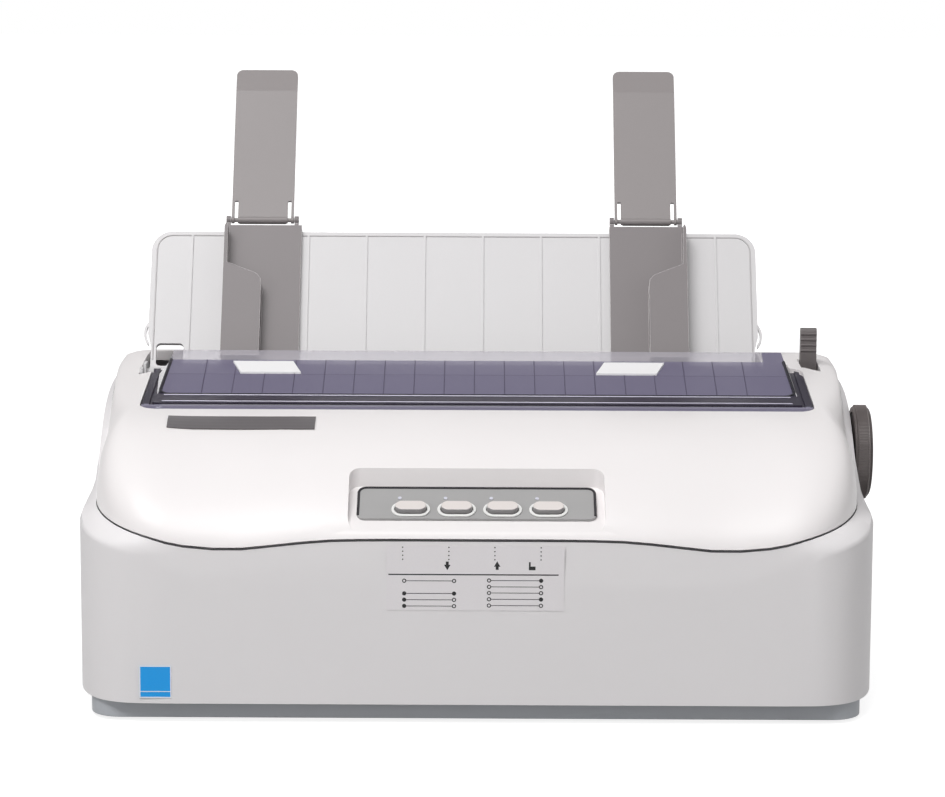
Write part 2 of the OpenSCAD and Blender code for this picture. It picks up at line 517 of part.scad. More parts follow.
module feed_pinion() color([0.8, 0.7, 0.4]) {
    translate([gear_x, feed_y, feed_z]) gear(pinion_teeth, motor_shaft_d, pinion_phase);
    rod(motor_shaft_d, gear_x - 1, gear_x + gear_t + 4, feed_y, feed_z);
}
motor_x = gear_x + gear_t + 2;
module feed_motor() color([0.25, 0.25, 0.27]) {
    difference() {
        union() {
            rod(42, motor_x, motor_x + 24, feed_y, feed_z);
            rod(53, motor_x, motor_x + 1.5, feed_y, feed_z);
        }
        rod(motor_shaft_d + 2 * fit, motor_x - 1, motor_x + 6, feed_y, feed_z);
    }
    for (a = [-120, -20, 30]) rod(6, frame_l, motor_x, feed_y + 23 * cos(a), feed_z + 23 * sin(a));
    rod(5, frame_l, gear_x + gear_t + 0.5, idler_y, idler_z);
}
module pinch_rollers() color([0.2, 0.2, 0.21]) {
    rod(4, platen_l - 4, platen_r + 4, pinch_y, pinch_z);
    for (i = [-2:2]) rod(pinch_d, guide_x + i * 60 - 12, guide_x + i * 60 + 12, pinch_y, pinch_z);
}
ramp_y0 = platen_y + platen_d / 2 + 6;
ramp_z0 = platen_z + 7;
ramp_y1 = guide_y - 8;
ramp_z1 = guide_z - 1;
rib_pitch = 16.6;
module paper_ramp() color([0.86, 0.86, 0.87]) {
    difference() {
        union() {
            along_x(frame_l + 10.3, frame_r - 0.3) polygon([[ramp_y0, ramp_z0 - 2], [ramp_y0, ramp_z0], [ramp_y1, ramp_z1], [ramp_y1, ramp_z1 - 2.4]]);
            for (i = [-9:9]) along_x(guide_x + i * rib_pitch - 0.6, guide_x + i * rib_pitch + 0.6)
                polygon([[ramp_y0, ramp_z0 - 1], [ramp_y0, ramp_z0 + 1.6], [ramp_y1, ramp_z1 + 1.6], [ramp_y1, ramp_z1 - 1]]);
        }
        block(frame_l, frame_l + 13, hinge_y - 7, hinge_y + 7, hinge_z - 7, 200);
    }
    for (x = [platen_l - 3.6, platen_r + 1.2]) difference() {
        along_x(x, x + 2.4) polygon([[pinch_y - 5, pinch_z - 5], [pinch_y + 6, pinch_z - 5], [ramp_y0 + 14, ramp_z0 + 6], [ramp_y0, ramp_z0 - 1],
            [ramp_y0, ramp_z0 - 6], [pinch_y + 1, pinch_z + 5], [pinch_y - 5, pinch_z + 4]]);
        rod(4 + 2 * fit, x - 1, x + 4, pinch_y, pinch_z);
    }
}
module paper_trough() color([0.15, 0.15, 0.16]) {
    translate([platen_l - 1, platen_y, platen_z]) rotate([0, 90, 0]) linear_extrude(platen_r - platen_l + 2) difference() {
        intersection() {
            circle(d = platen_d + 6, $fn = 96);
            polygon([[0, 0], [53, 28], [60, 0], [60, -46], [38.6, -46]]);
        }
        circle(d = platen_d + 3, $fn = 96);
    }
    for (x = [frame_l + 78, guide_x, frame_r - 70]) block(x - 1.2, x + 1.2, platen_y - 10, platen_y + 4, pan_z + pan_t, platen_z - platen_d / 2 - 1.8);
}
tear_z = platen_z + 19.3;
module tear_bar() color([0.75, 0.8, 0.82]) difference() {
    union() {
        block(frame_l + 0.3, frame_r - 0.3, platen_y - 30, platen_y - 22, tear_z, tear_z + 1.5);
        along_x(frame_l + 0.3, frame_r - 0.3) polygon([[platen_y - 22, tear_z], [platen_y - 15, tear_z + 2], [platen_y - 15, tear_z + 3], [platen_y - 22, tear_z + 1.5]]);
    }
    for (x = [frame_l + 6:4:frame_r - 4]) translate([x, platen_y - 14.5, tear_z + 2.5]) rotate([0, 0, 45]) cube([2, 2, 4], center = true);
}

// ---- print carriage ----
car_x = frame_l + 78;
car_w = 56;
belt_y = 70;
belt_z = 89.5;
belt_w = 5;
belt_t = 1.2;
pulley_l = frame_l + 24;
pulley_r = frame_r - 24;
rail_z = rod_z + 8.5;
module carriage_rod() color([0.83, 0.84, 0.86]) rod(rod_d, frame_l - frame_t - 1.5, frame_r + frame_t + 1.5, rod_y, rod_z);
module carriage_rail() color([0.7, 0.72, 0.74]) {
    block(frame_l + 0.2, frame_r - 0.2, rod_y - 48, rod_y - 46.5, rail_z - 1.5, rail_z + 12.5);
    block(frame_l + 0.2, frame_r - 0.2, rod_y - 47, rod_y - 40, rail_z - 1.5, rail_z);
}
module carriage() color([0.16, 0.16, 0.18]) translate([car_x, 0, 0]) difference() {
    union() {
        block(-car_w / 2, car_w / 2, rod_y - 13, rod_y + 14, rod_z - 11, rod_z + 12);
        block(-12, 12, belt_y + 2, rod_y - 12, rod_z - 8, rod_z + 12);
        block(-16, 16, rod_y - 45.5, rod_y - 12, rail_z + 0.5, rail_z + 3.5);
        for (s = [-1, 1]) rod(rod_d + 8, s * car_w / 2 - 1.5, s * car_w / 2 + 1.5, rod_y, rod_z);
    }
    rod(rod_d + 2 * fit, -car_w, car_w, rod_y, rod_z);
    block(-20, 20, belt_y + pulley_d / 2 - 0.5, belt_y + pulley_d / 2 + belt_t + 0.6, belt_z - 0.6, belt_z + belt_w + 0.6);
}
nose_y = platen_y - platen_d / 2 - 2;
module print_head() color([0.3, 0.3, 0.32]) translate([car_x, 0, 0]) {
    block(-14, 14, rod_y + 4, nose_y - 9, rod_z + 12.05, platen_z + 12);
    for (i = [-3:3]) block(i * 4.2 - 0.7, i * 4.2 + 0.7, rod_y + 1, rod_y + 10, rod_z + 14, platen_z + 14);
    along_x(-9, 9) polygon([[nose_y - 10, platen_z - 9], [nose_y - 3, platen_z - 7], [nose_y - 3, platen_z + 7], [nose_y - 10, platen_z + 9]]);
    block(-4.5, 4.5, nose_y - 4, nose_y, platen_z - 6, platen_z + 6);
}
module belt_loop(r) {
    for (x = [pulley_l, pulley_r]) translate([x, belt_y]) circle(r, $fn = 64);
    translate([pulley_l, belt_y - r]) square([pulley_r - pulley_l, 2 * r]);
}
module drive_belt() color([0.1, 0.1, 0.1]) translate([0, 0, belt_z]) linear_extrude(belt_w) difference() {
    belt_loop(pulley_d / 2 + belt_t);
    belt_loop(pulley_d / 2 + 0.05);
}
module pulley(x, axle) translate([x, belt_y, belt_z - 1.2]) difference() {
    union() {
        cylinder(d = pulley_d, h = belt_w + 2.4, $fn = 48);
        cylinder(d = pulley_d + 4, h = 1, $fn = 48);
        translate([0, 0, belt_w + 1.4]) cylinder(d = pulley_d + 4, h = 1, $fn = 48);
    }
    translate([0, 0, -1]) cylinder(d = axle + 2 * fit, h = belt_w + 6, $fn = 32);
    for (i = [0:2]) rotate(i * 120) translate([pulley_d / 3, 0, belt_w - 1]) cylinder(d = 1.6, h = 5, $fn = 24);
}
bracket_z = belt_z - 4;
module drive_pulley() color([0.82, 0.72, 0.42]) pulley(pulley_l, 3);
module idler_pulley() color([0.82, 0.72, 0.42]) pulley(pulley_r, 3);
module carriage_motor() color([0.25, 0.25, 0.27]) {
    translate([pulley_l, belt_y, bracket_z - 37]) cylinder(d = 42, h = 35, $fn = 64);
    difference() {
        union() {
            block(frame_l, pulley_l + 22, belt_y - 14, belt_y + 14, bracket_z - 2, bracket_z);
            block(pulley_r - 10, frame_r, belt_y - 14, belt_y + 14, bracket_z - 2, bracket_z);
        }
        translate([pulley_l + 17, belt_y, bracket_z - 3]) cylinder(d = 3.2, h = 5, $fn = 32);
    }
    for (x = [pulley_l, pulley_r]) translate([x, belt_y, bracket_z]) {
        cylinder(d = 3, h = belt_w + 6, $fn = 32);
        cylinder(d = 7, h = 2.6, $fn = 32);
    }
}
cart_l = frame_l + 18;
cart_r = frame_r - 18;
cart_z = 119;
module ribbon_cartridge() color([0.14, 0.14, 0.15]) {
    difference() {
        union() {
            block(cart_l, cart_r, 62, 94, cart_z, cart_z + 14);
            for (x = [cart_l, cart_r - 10]) block(x, x + 10, 62, nose_y - 2, platen_z - 8, cart_z + 10);
            block(frame_l + 0.3, cart_l + 1, 64, 80, cart_z, cart_z + 4);
            block(cart_r - 1, frame_r - 0.3, 64, 80, cart_z, cart_z + 4);
        }
        translate([cart_l + 40, 78, cart_z + 10]) cylinder(d = 4 + 2 * fit, h = 6, $fn = 32);
        for (i = [0:4]) block(cart_l + 80 + i * 34, cart_l + 108 + i * 34, 68, 88, cart_z + 13.2, cart_z + 15);
    }
    block(cart_l + 4, cart_r - 4, nose_y + 0.55, nose_y + 0.85, platen_z - 6.5, platen_z + 6.5);
    for (x = [cart_l, cart_r - 4]) block(x, x + 4, nose_y - 3, nose_y + 0.85, platen_z - 6.5, platen_z + 6.5);
}
module ribbon_knob() color([0.2, 0.2, 0.22]) translate([cart_l + 40, 78, cart_z + 14.2]) {
    difference() {
        cylinder(d = 16, h = 3.4, $fn = 48);
        for (i = [0:11]) rotate(i * 30) translate([8.4, 0, -1]) cylinder(d = 2.4, h = 6, $fn = 24);
    }
    translate([0, 0, -3]) cylinder(d = 4, h = 4, $fn = 32);
}
gap_x = frame_r - 9;
module gap_lever() color([0.3, 0.45, 0.6]) difference() {
    union() {
        rod(rod_d + 8, gap_x, gap_x + 5, rod_y, rod_z);
        along_x(gap_x, gap_x + 5) polygon([[rod_y - 4, rod_z + 4], [rod_y + 4, rod_z + 4], [rod_y + 7, rod_z + 40], [rod_y + 1, rod_z + 41]]);
    }
    rod(rod_d + 2 * fit, gap_x - 1, gap_x + 6, rod_y, rod_z);
}

// ---- paper release lever ----
lever_pin_d = 6;
module lever_pin() color([0.8, 0.81, 0.83]) {
    rod(lever_pin_d, frame_r + frame_t, lever_x + 7, lever_y, lever_z);
    rod(lever_pin_d + 5, frame_r + frame_t, frame_r + frame_t + 3, lever_y, lever_z);
}
module release_lever() color([0.33, 0.31, 0.31]) difference() {
    union() {
        rod(lever_pin_d + 7, lever_x - 16, lever_x + 4.6, lever_y, lever_z);
        along_x(lever_x - 4.6, lever_x + 4.6) polygon([[lever_y - 4, lever_z], [lever_y + 4, lever_z], [lever_y + 2.5, lever_top - 2],
            [lever_y + 1, lever_top], [lever_y - 2.5, lever_top], [lever_y - 3.5, lever_top - 1.5]]);
        for (i = [0:3]) rod(1.6, lever_x - 4.6, lever_x + 4.6, lever_y - 3.3, lever_top - 3 - i * 3.2);
    }
    rod(lever_pin_d + 2 * fit, lever_x - 20, lever_x + 8, lever_y, lever_z);
}

// ---- tractors ----
tractor_xs = [frame_l + 63, frame_r - 60];
module tractor_shaft() color([0.8, 0.81, 0.83]) {
    rod(6, frame_l - frame_t - 1, frame_r + frame_t + 1, tractor_y, tractor_z);
    translate([gear_x, tractor_y, tractor_z]) gear(platen_teeth, 6, tractor_phase);
}
module tractor_rod() color([0.8, 0.81, 0.83]) rod(6, frame_l - frame_t - 1, frame_r + frame_t + 1, trod_y, trod_z);
module tractor(x, s) translate([x, 0, 0]) difference() {
    union() {
        along_x(-6, 6) polygon([[trod_y - 8, trod_z - 6], [tractor_y + 6, trod_z - 6], [tractor_y + 12, tractor_z], [tractor_y + 12, tractor_z + 9],
            [trod_y - 2, tractor_z + 9], [trod_y - 8, tractor_z + 4]]);
        block(s > 0 ? 6 : -9, s > 0 ? 9 : -6, trod_y + 2, tractor_y + 12, tractor_z + 2, tractor_z + 9);
    }
    rod(6 + 2 * fit, -20, 20, trod_y, trod_z);
    rod(6.4, -20, 20, tractor_y, tractor_z);
    block(-3.5, 3.5, tractor_y - 14, tractor_y + 20, tractor_z - 3, tractor_z + 20);
    translate([s * 7.5, trod_y, tractor_z + 6.5]) rotate([-90, 0, 0]) cylinder(d = 2 + 2 * fit, h = 40, $fn = 32);
}
module left_tractor() color([0.2, 0.2, 0.22]) tractor(tractor_xs[0], -1);
module right_tractor() color([0.2, 0.2, 0.22]) tractor(tractor_xs[1], 1);
module tractor_door(x, s) translate([x, 0, 0]) {
    difference() {
        block(min(-s * 6, s * 9), max(-s * 6, s * 9), trod_y + 3, tractor_y + 11, tractor_z + 9.6, tractor_z + 11.2);
        block(-2.2, 2.2, trod_y + 6, tractor_y + 8, tractor_z + 8, tractor_z + 13);
    }
    translate([s * 7.5, tractor_y + 12.3, tractor_z + 6.5]) rotate([-90, 0, 0]) cylinder(d = 6, h = 1.5, $fn = 32);
    block(s * 7.5 - 3, s * 7.5 + 3, tractor_y + 12.3, tractor_y + 13.8, tractor_z + 6.5, tractor_z + 11.2);
    block(s * 7.5 - 3, s * 7.5 + 3, tractor_y + 10.5, tractor_y + 13.8, tractor_z + 9.6, tractor_z + 11.2);
    translate([s * 7.5, tractor_y + 4, tractor_z + 6.5]) rotate([-90, 0, 0]) cylinder(d = 2, h = 9, $fn = 32);
}
module left_tractor_door() color([0.24, 0.24, 0.26]) tractor_door(tractor_xs[0], -1);
module right_tractor_door() color([0.24, 0.24, 0.26]) tractor_door(tractor_xs[1], 1);

// ---- electrics ----
board_z = pan_z + pan_t + 4;
board_x = frame_r - 250;
board_y = 172;
module main_board() color([0.1, 0.35, 0.2]) {
    block(board_x, frame_r - 14, board_y, case_d - 27, board_z, board_z + 1.6);
    for (x = [30, 90, 150]) block(board_x + x, board_x + x + 26, board_y + 18, board_y + 42, board_z + 1.6, board_z + 4.6);
    for (x = [20, 60, 130, 180]) translate([board_x + x, board_y + 54, board_z + 1.6]) cylinder(d = 9, h = 13, $fn = 32);
    for (x = [board_x + 6, frame_r - 20], y = [board_y + 6, case_d - 33]) translate([x, y, pan_z + pan_t]) cylinder(d = 6, h = board_z - pan_z - pan_t, $fn = 32);
}
supply_x = frame_r - 180;
module power_supply() color([0.45, 0.47, 0.5]) {
    block(supply_x, supply_x + 130, 40, 92, board_z, board_z + 1.6);
    block(supply_x + 20, supply_x + 68, 44, 86, board_z + 1.6, 58);
    for (x = [86, 104]) translate([supply_x + x, 60, board_z + 1.6]) cylinder(d = 16, h = 30, $fn = 32);
    for (x = [supply_x + 6, supply_x + 124], y = [46, 86]) translate([x, y, pan_z + pan_t]) cylinder(d = 6, h = board_z - pan_z - pan_t, $fn = 32);
}
inlet_x = frame_r - 16;
switch_x = inlet_x - 32;
port_x = frame_l + 78;
usb_x = port_x + 60;
sock_y = case_d - wall - 0.3;
module rear_sockets() color([0.12, 0.12, 0.13]) {
    difference() {
        union() {
            block(inlet_x - 14, inlet_x + 14, sock_y - 22, case_d - 0.5, port_z - 10.5, port_z + 10.5);
            block(inlet_x - 18, inlet_x + 18, sock_y - 2, sock_y, port_z - 13, port_z + 13);
        }
        block(inlet_x - 11, inlet_x + 11, case_d - 16, case_d + 1, port_z - 7.5, port_z + 7.5);
    }
    difference() {
        union() {
            block(switch_x - 7, switch_x + 7, sock_y - 14, case_d - 0.5, port_z - 10.5, port_z + 10.5);
            block(switch_x - 9.5, switch_x + 9.5, sock_y - 2, sock_y, port_z - 13, port_z + 13);
        }
        block(switch_x - 5.8, switch_x + 5.8, sock_y - 10, case_d + 1, port_z - 8.8, port_z + 8.8);
    }
    rod(2, switch_x - 6, switch_x + 6, rocker_y, port_z);
    for (dx = [-6, 0, 6]) block(inlet_x + dx - 1, inlet_x + dx + 1, case_d - 17, case_d - 6, port_z - 2 + (dx == 0 ? 2 : 0), port_z + 2 + (dx == 0 ? 2 : 0));
    difference() {
        union() {
            block(port_x - 30, port_x + 30, sock_y - 14, case_d - 0.5, port_z - 8, port_z + 8);
            block(port_x - 34, port_x + 34, sock_y - 2, sock_y, port_z - 11, port_z + 11);
        }
        block(port_x - 26, port_x + 26, case_d - 8, case_d + 1, port_z - 5, port_z + 5);
    }
    block(port_x - 24, port_x + 24, case_d - 9, case_d - 2, port_z - 1.6, port_z + 1.6);
    difference() {
        union() {
            block(usb_x - 7, usb_x + 7, sock_y - 16, case_d - 0.5, port_z - 7, port_z + 7);
            block(usb_x - 11, usb_x + 11, sock_y - 2, sock_y, port_z - 10, port_z + 10);
        }
        block(usb_x - 4.5, usb_x + 4.5, case_d - 9, case_d + 1, port_z - 4.5, port_z + 4.5);
    }
}
// rocker that turns on a pin between the cheeks of the switch's body; its upper end stands proud
rocker_y = case_d - 4;
module power_switch() color([0.1, 0.1, 0.11]) difference() {
    translate([switch_x - 5.5, rocker_y, port_z]) rotate([90, 0, 90]) linear_extrude(11)
        polygon([[-3.2, -6], [3, -7.6], [3.4, -7.6], [2.9, 0], [5.2, 7.6], [4.4, 7.8], [-2.4, 6.4]]);
    rod(2 + 2 * fit, switch_x - 8, switch_x + 8, rocker_y, port_z);
}

// ---- sheet guide: drawn standing, u up the slope and n towards the front ----
module on_guide() translate([0, guide_y, guide_z]) rotate([guide_slope, 0, 0]) children();
guide_flare = 2;          // the guide is that much wider on each side above the case
guide_side = [[guide_w / 2, 2], [guide_w / 2, 16], [guide_w / 2 + guide_flare, 24], [guide_w / 2 + guide_flare, guide_len + 2]];
module sheet_guide() color([0.88, 0.88, 0.88]) {
    on_guide() {
        difference() {
            translate([guide_x, 0, -guide_t]) linear_extrude(guide_t) intersection() {
                translate([0, guide_len / 2 - 20]) rounded(guide_w + 2 * guide_flare, guide_len + 40, 12);
                polygon(concat([for (p = guide_side) [-p[0], p[1]]], [for (i = [3:-1:0]) guide_side[i]]));
            }
            translate([guide_x - guide_w / 2 + 10.8, 11.4, -guide_t - 1]) linear_extrude(10) rounded(15.6, 14, 2.5);
            for (i = [-2:2]) translate([guide_x + i * 67.2, 60, -guide_t - 1]) linear_extrude(1.9) rounded(58, 40, 3);
        }
        for (i = [-4.5:4.5]) translate([guide_x + i * 33.6 - 0.6, 6, 0]) cube([1.2, guide_len - 8, 0.8]);
        // a small loop at each edge
        for (s = [-1, 1]) translate([guide_x + s * (guide_w / 2 + guide_flare - 8.5), 25, -guide_t]) linear_extrude(2.2) difference() {
            intersection() {
                circle(r = 11, $fn = 64);
                translate([s > 0 ? 8 : -18, -12]) square([10, 24]);
            }
            circle(r = 9.6, $fn = 64);
        }
    }
    rod(7, guide_x - guide_w / 2, guide_x + guide_w / 2, guide_y, guide_z);
    rod(guide_pin_d, frame_l - frame_t - 0.2, frame_r + frame_t + 0.2, guide_y, guide_z);
}
flap_dx = -0.8;           // the flaps hang a little left of the middle of their guides
edge_n = 1.2;
edge_t = 2;
block_n = 11.5;
module edge_guide(x, s) on_guide() translate([x, 0, 0]) {
    difference() {
        union() {
            translate([-edge_w / 2, 6, edge_n]) cube([edge_w, guide_len - 3, edge_t]);
            // raised wall that the paper's edge runs along
            translate([0, 0, edge_n]) linear_extrude(block_n) polygon([for (p = [[23.5, 6], [23.5, 87], [22.5, 89.5], [21.5, 88], [21, 64], [3, 57], [0.5, 54], [0, 50], [0, 6]])
                [s * p[0] * edge_w / 47, p[1] > 10 ? p[1] + guide_len - 89 : p[1]]]);
            translate([-edge_w / 2, guide_len + 0.4, -guide_t - 2.4]) cube([edge_w, 2.6, guide_t + 2.4 + edge_n + 0.1]);
            translate([-edge_w / 2, guide_len - 9, -guide_t - 2.4]) cube([edge_w, 12, 2]);
            for (k = [-1, 1]) translate([k * (flap_w / 2 + 1.7) - 1.3 + flap_dx, guide_len, edge_n]) cube([2.6, flap_u - guide_len, 2]);
            for (k = [-1, 1]) translate([k * (flap_w / 2 + 1.7) - 1.3 + flap_dx, flap_u, edge_n + edge_t / 2]) rotate([0, 90, 0]) cylinder(d = 4.8, h = 2.6, $fn = 32);
        }
        // the wall is hollow behind
        translate([0, 0, edge_n + edge_t]) linear_extrude(block_n - edge_t - 1.6) polygon([for (p = [[22, 4], [22, 62], [4.5, 55.5], [1.8, 51], [1.6, 4]])
            [s * p[0] * edge_w / 47, p[1] > 10 ? p[1] + guide_len - 89 : p[1]]]);
        translate([0, flap_u, edge_n + edge_t / 2]) rotate([0, 90, 0]) cylinder(d = flap_pin_d + 2 * fit, h = 100, center = true, $fn = 32);
    }
}
module left_edge_guide() color([0.58, 0.56, 0.56]) edge_guide(left_edge_x, -1);
module right_edge_guide() color([0.58, 0.56, 0.56]) edge_guide(right_edge_x, 1);
bend_u = 15;
module flap(x) on_guide() translate([x + flap_dx, flap_u, edge_n + edge_t / 2]) {
    difference() {
        union() {
            translate([-flap_w / 2, 0, -1]) cube([flap_w, flap_len - bend_u, 2]);
            rotate([0, 90, 0]) cylinder(d = 4, h = flap_w, center = true, $fn = 32);
            translate([0, flap_len - bend_u, 0]) rotate([-9, 0, 0]) translate([0, 0, -1]) linear_extrude(2) intersection() {
                translate([0, bend_u / 2 - 10]) rounded(flap_w, bend_u + 20, 4);
                translate([-flap_w / 2, -0.2]) square([flap_w, bend_u + 1]);
            }
        }
        for (k = [-1, 1]) translate([k * (flap_w / 2 - 2.6) - 1, -5, -5]) cube([2, 17, 10]);
    }
    rotate([0, 90, 0]) cylinder(d = flap_pin_d, h = flap_w + 5.8, center = true, $fn = 32);
}
module left_flap() color([0.66, 0.64, 0.64]) flap(left_edge_x);
module right_flap() color([0.66, 0.64, 0.64]) flap(right_edge_x);

place() base_tray();
place() rubber_feet();
place() lower_case();
place() upper_cover();
place() control_panel();
place() button_bezels();
place() indicator_lights();
place() button(0);  // button_1
place() button(1);  // button_2
place() button(2);  // button_3
place() button(3);  // button_4
place() badge_plate();
place() legend_label();
place() rating_label();
place() smoked_lid();
place() lid_tabs();
place() hinge_pins();
place() chassis_pan();
place() left_side_frame();
place() right_side_frame();
place() platen_roller();
place() platen_shaft();
place() platen_knob();
place() platen_gear();
place() idler_gear();
place() feed_pinion();
place() feed_motor();
place() pinch_rollers();
place() paper_ramp();
place() paper_trough();
place() tear_bar();
place() carriage_rod();
place() carriage_rail();
place() carriage();
place() print_head();
place() drive_belt();
place() drive_pulley();
place() carriage_motor();
place() idler_pulley();
place() ribbon_cartridge();
place() ribbon_knob();
place() gap_lever();
place() release_lever();
place() lever_pin();
place() tractor_shaft();
place() tractor_idler();
place() tractor_rod();
place() left_tractor();
place() right_tractor();
place() left_tractor_door();
place() right_tractor_door();
place() main_board();
place() power_supply();
place() rear_sockets();
place() power_switch();
place() sheet_guide();
place() left_edge_guide();
place() right_edge_guide();
place() left_flap();
place() right_flap();
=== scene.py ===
import json
import math
import bpy
from mathutils import Matrix, Vector


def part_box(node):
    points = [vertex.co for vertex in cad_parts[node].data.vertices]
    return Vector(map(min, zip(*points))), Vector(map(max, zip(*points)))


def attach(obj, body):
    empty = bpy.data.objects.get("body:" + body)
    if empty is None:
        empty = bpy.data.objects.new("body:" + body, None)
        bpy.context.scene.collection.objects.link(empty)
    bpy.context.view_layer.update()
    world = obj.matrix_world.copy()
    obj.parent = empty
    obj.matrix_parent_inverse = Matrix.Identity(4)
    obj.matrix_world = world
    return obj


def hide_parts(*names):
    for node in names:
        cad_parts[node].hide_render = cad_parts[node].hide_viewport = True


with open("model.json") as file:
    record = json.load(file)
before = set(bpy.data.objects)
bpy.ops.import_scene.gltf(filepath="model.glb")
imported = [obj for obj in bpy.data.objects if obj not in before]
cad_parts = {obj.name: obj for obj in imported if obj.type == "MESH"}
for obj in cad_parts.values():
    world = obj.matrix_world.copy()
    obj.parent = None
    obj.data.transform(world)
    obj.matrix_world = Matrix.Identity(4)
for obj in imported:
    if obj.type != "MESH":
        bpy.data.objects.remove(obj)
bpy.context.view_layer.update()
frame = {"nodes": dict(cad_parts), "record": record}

mm = 0.001
weld = 2e-6   # metres within which vertices are one
shift = Vector((4.15, 157.285, 0))   # the model's origin, measured from the middle of the case's front edge
bodyOf = {node: body for body, nodes in frame["record"]["behaviour"]["bodies"].items() for node in nodes}


def place(x, y, z):
    # millimetres from the middle of the case's front edge, turned into the frame's metres
    return (Vector((x, y, z)) - shift) * mm


print("camera")
viewpoint = {"height": 448, "distance": 1656, "tilt": 9.5, "roll": 0.27, "lens": 126.29, "shiftX": -0.005}
cameraData = bpy.data.cameras.new("camera")
cameraData.lens = viewpoint["lens"]
cameraData.sensor_width = 36
cameraData.shift_x = viewpoint["shiftX"]
cameraData.clip_end = 50
camera = bpy.data.objects.new("camera", cameraData)
bpy.context.collection.objects.link(camera)
camera.matrix_world = (Matrix.Translation(place(0, -viewpoint["distance"], viewpoint["height"]))
                       @ Matrix.Rotation(math.radians(90 - viewpoint["tilt"]), 4, "X")
                       @ Matrix.Rotation(math.radians(viewpoint["roll"]), 4, "Z"))
bpy.context.scene.camera = camera
bpy.context.scene.view_settings.view_transform = "Standard"


def linear(colour):
    # 0 to 255 as seen on a screen, turned into the shader's linear values
    return tuple((c / 255 / 12.92) if c <= 10 else ((c / 255 + 0.055) / 1.055) ** 2.4 for c in colour) + (1,)


class Wire:
    # a node's output, so that sums on it can be written out plainly
    def __init__(self, finish, socket):
        self.finish = finish
        self.socket = socket

    def sum(self, operation, *values):
        return self.finish.node("ShaderNodeMath", {"operation": operation}, *values)

    def __add__(self, other):
        return self.sum("ADD", self, other)

    def __sub__(self, other):
        return self.sum("SUBTRACT", self, other)

    def __rsub__(self, other):
        return self.sum("SUBTRACT", other, self)

    def __mul__(self, other):
        return self.sum("MULTIPLY", self, other)

    def __truediv__(self, other):
        return self.sum("DIVIDE", self, other)

    def __abs__(self):
        return self.sum("ABSOLUTE", self)

    def __gt__(self, other):
        return self.sum("GREATER_THAN", self, other)

    def __lt__(self, other):
        return self.sum("LESS_THAN", self, other)

    def capped(self):
        return self.finish.node("ShaderNodeClamp", {}, self)

    def above(self, start, gain=1):
        # 0 up to start, then rising with this gain as far as 1
        return ((self - start) * gain).capped()

    def sway(self, amount):
        # a noise's swing to both sides of its average
        return (self - 0.5) * amount


class Finish:
    # one material and the nodes that make it
    def __init__(self, name):
        self.material = bpy.data.materials.new(name)
        self.material.use_nodes = True
        self.tree = self.material.node_tree
        self.shader = self.tree.nodes["Principled BSDF"]

    def node(self, kind, settings, *values, out=0, **named):
        made = self.tree.nodes.new(kind)
        for key, value in settings.items():
            setattr(made, key, value)
        for index, value in enumerate(values):
            self.put(made.inputs[index], value)
        for key, value in named.items():
            self.put(made.inputs[key], value)
        return Wire(self, made.outputs[out])

    def put(self, socket, value):
        if isinstance(value, Wire):
            self.tree.links.new(value.socket, socket)
        else:
            socket.default_value = value

    def set(self, **values):
        for key, value in values.items():
            self.put(self.shader.inputs[key.replace("_", " ")], value)

    def where(self):
        # Object coordinates in millimetres from the middle of the case's front edge
        at = self.node("ShaderNodeTexCoord", {}, out="Object")
        return self.node("ShaderNodeMapping", {}, at, Location=tuple(shift), Scale=(1000, 1000, 1000))

    def axes(self):
        at = self.node("ShaderNodeSeparateXYZ", {}, self.where()).socket.node
        return [Wire(self, at.outputs[i]) for i in range(3)]

    def noise(self, scale, detail=2, roughness=0.5, stretch=(1, 1, 1)):
        # about 0.5 on average, with features 1/scale mm across
        at = self.node("ShaderNodeMapping", {}, self.where(), Scale=stretch)
        return self.node("ShaderNodeTexNoise", {}, Vector=at, Scale=scale, Detail=detail, Roughness=roughness)

    def mix(self, share, a, b):
        made = self.tree.nodes.new("ShaderNodeMix")
        made.data_type = "RGBA"
        self.put(made.inputs[0], share)
        self.put(made.inputs[6], a)
        self.put(made.inputs[7], b)
        return Wire(self, made.outputs[2])

    def bump(self, height, depth):
        # depth in millimetres for a height that runs from 0 to 1
        return self.node("ShaderNodeBump", {}, Height=height, Distance=depth * mm, Strength=1.0)


def shade(colour, factor):
    return tuple(min(1, c * factor) for c in colour[:3]) + (1,)


mould = {
    "flow": 0.012, "flowFrom": 0.35, "flowGain": 2.2, "paler": 0.6,
    "speckFrom": 0.45, "speckGain": 3, "speckShare": 0.5, "speckTone": 0.975,
    "dustTilt": 0.6, "dustGain": 2, "dustPatch": 0.05, "dustColour": (205, 200, 190),
    "fineSway": 0.12, "flowSway": 0.1,
}


def mouldedPlastic(name, colour, rough, depth, size, cloud, dust=0.0):
    # spark-eroded grain, faint flow clouds, and dust that lies on faces that look up
    k = mould
    f = Finish(name)
    base = linear(colour)
    flow = f.noise(k["flow"], 3, 0.6)
    fine = f.noise(1 / size, 2, 0.6)
    clouds = flow.above(k["flowFrom"], k["flowGain"])
    tone = f.mix(clouds, shade(base, 1 - cloud), shade(base, 1 + cloud * k["paler"]))
    speck = f.mix(fine.above(k["speckFrom"], k["speckGain"]) * k["speckShare"], tone, shade(base, k["speckTone"]))
    if dust:
        up = f.node("ShaderNodeSeparateXYZ", {}, f.node("ShaderNodeNewGeometry", {}, out="Normal"), out="Z")
        settled = up.above(k["dustTilt"]) * k["dustGain"] * f.noise(k["dustPatch"], 4, 0.7).capped() * dust
        speck = f.mix(settled.capped(), speck, linear(k["dustColour"]))
    f.set(Base_Color=speck, Roughness=fine.sway(k["fineSway"]) + flow.sway(k["flowSway"]) + rough)
    f.set(Normal=f.bump(fine, depth))
    return f.material


print("materials")
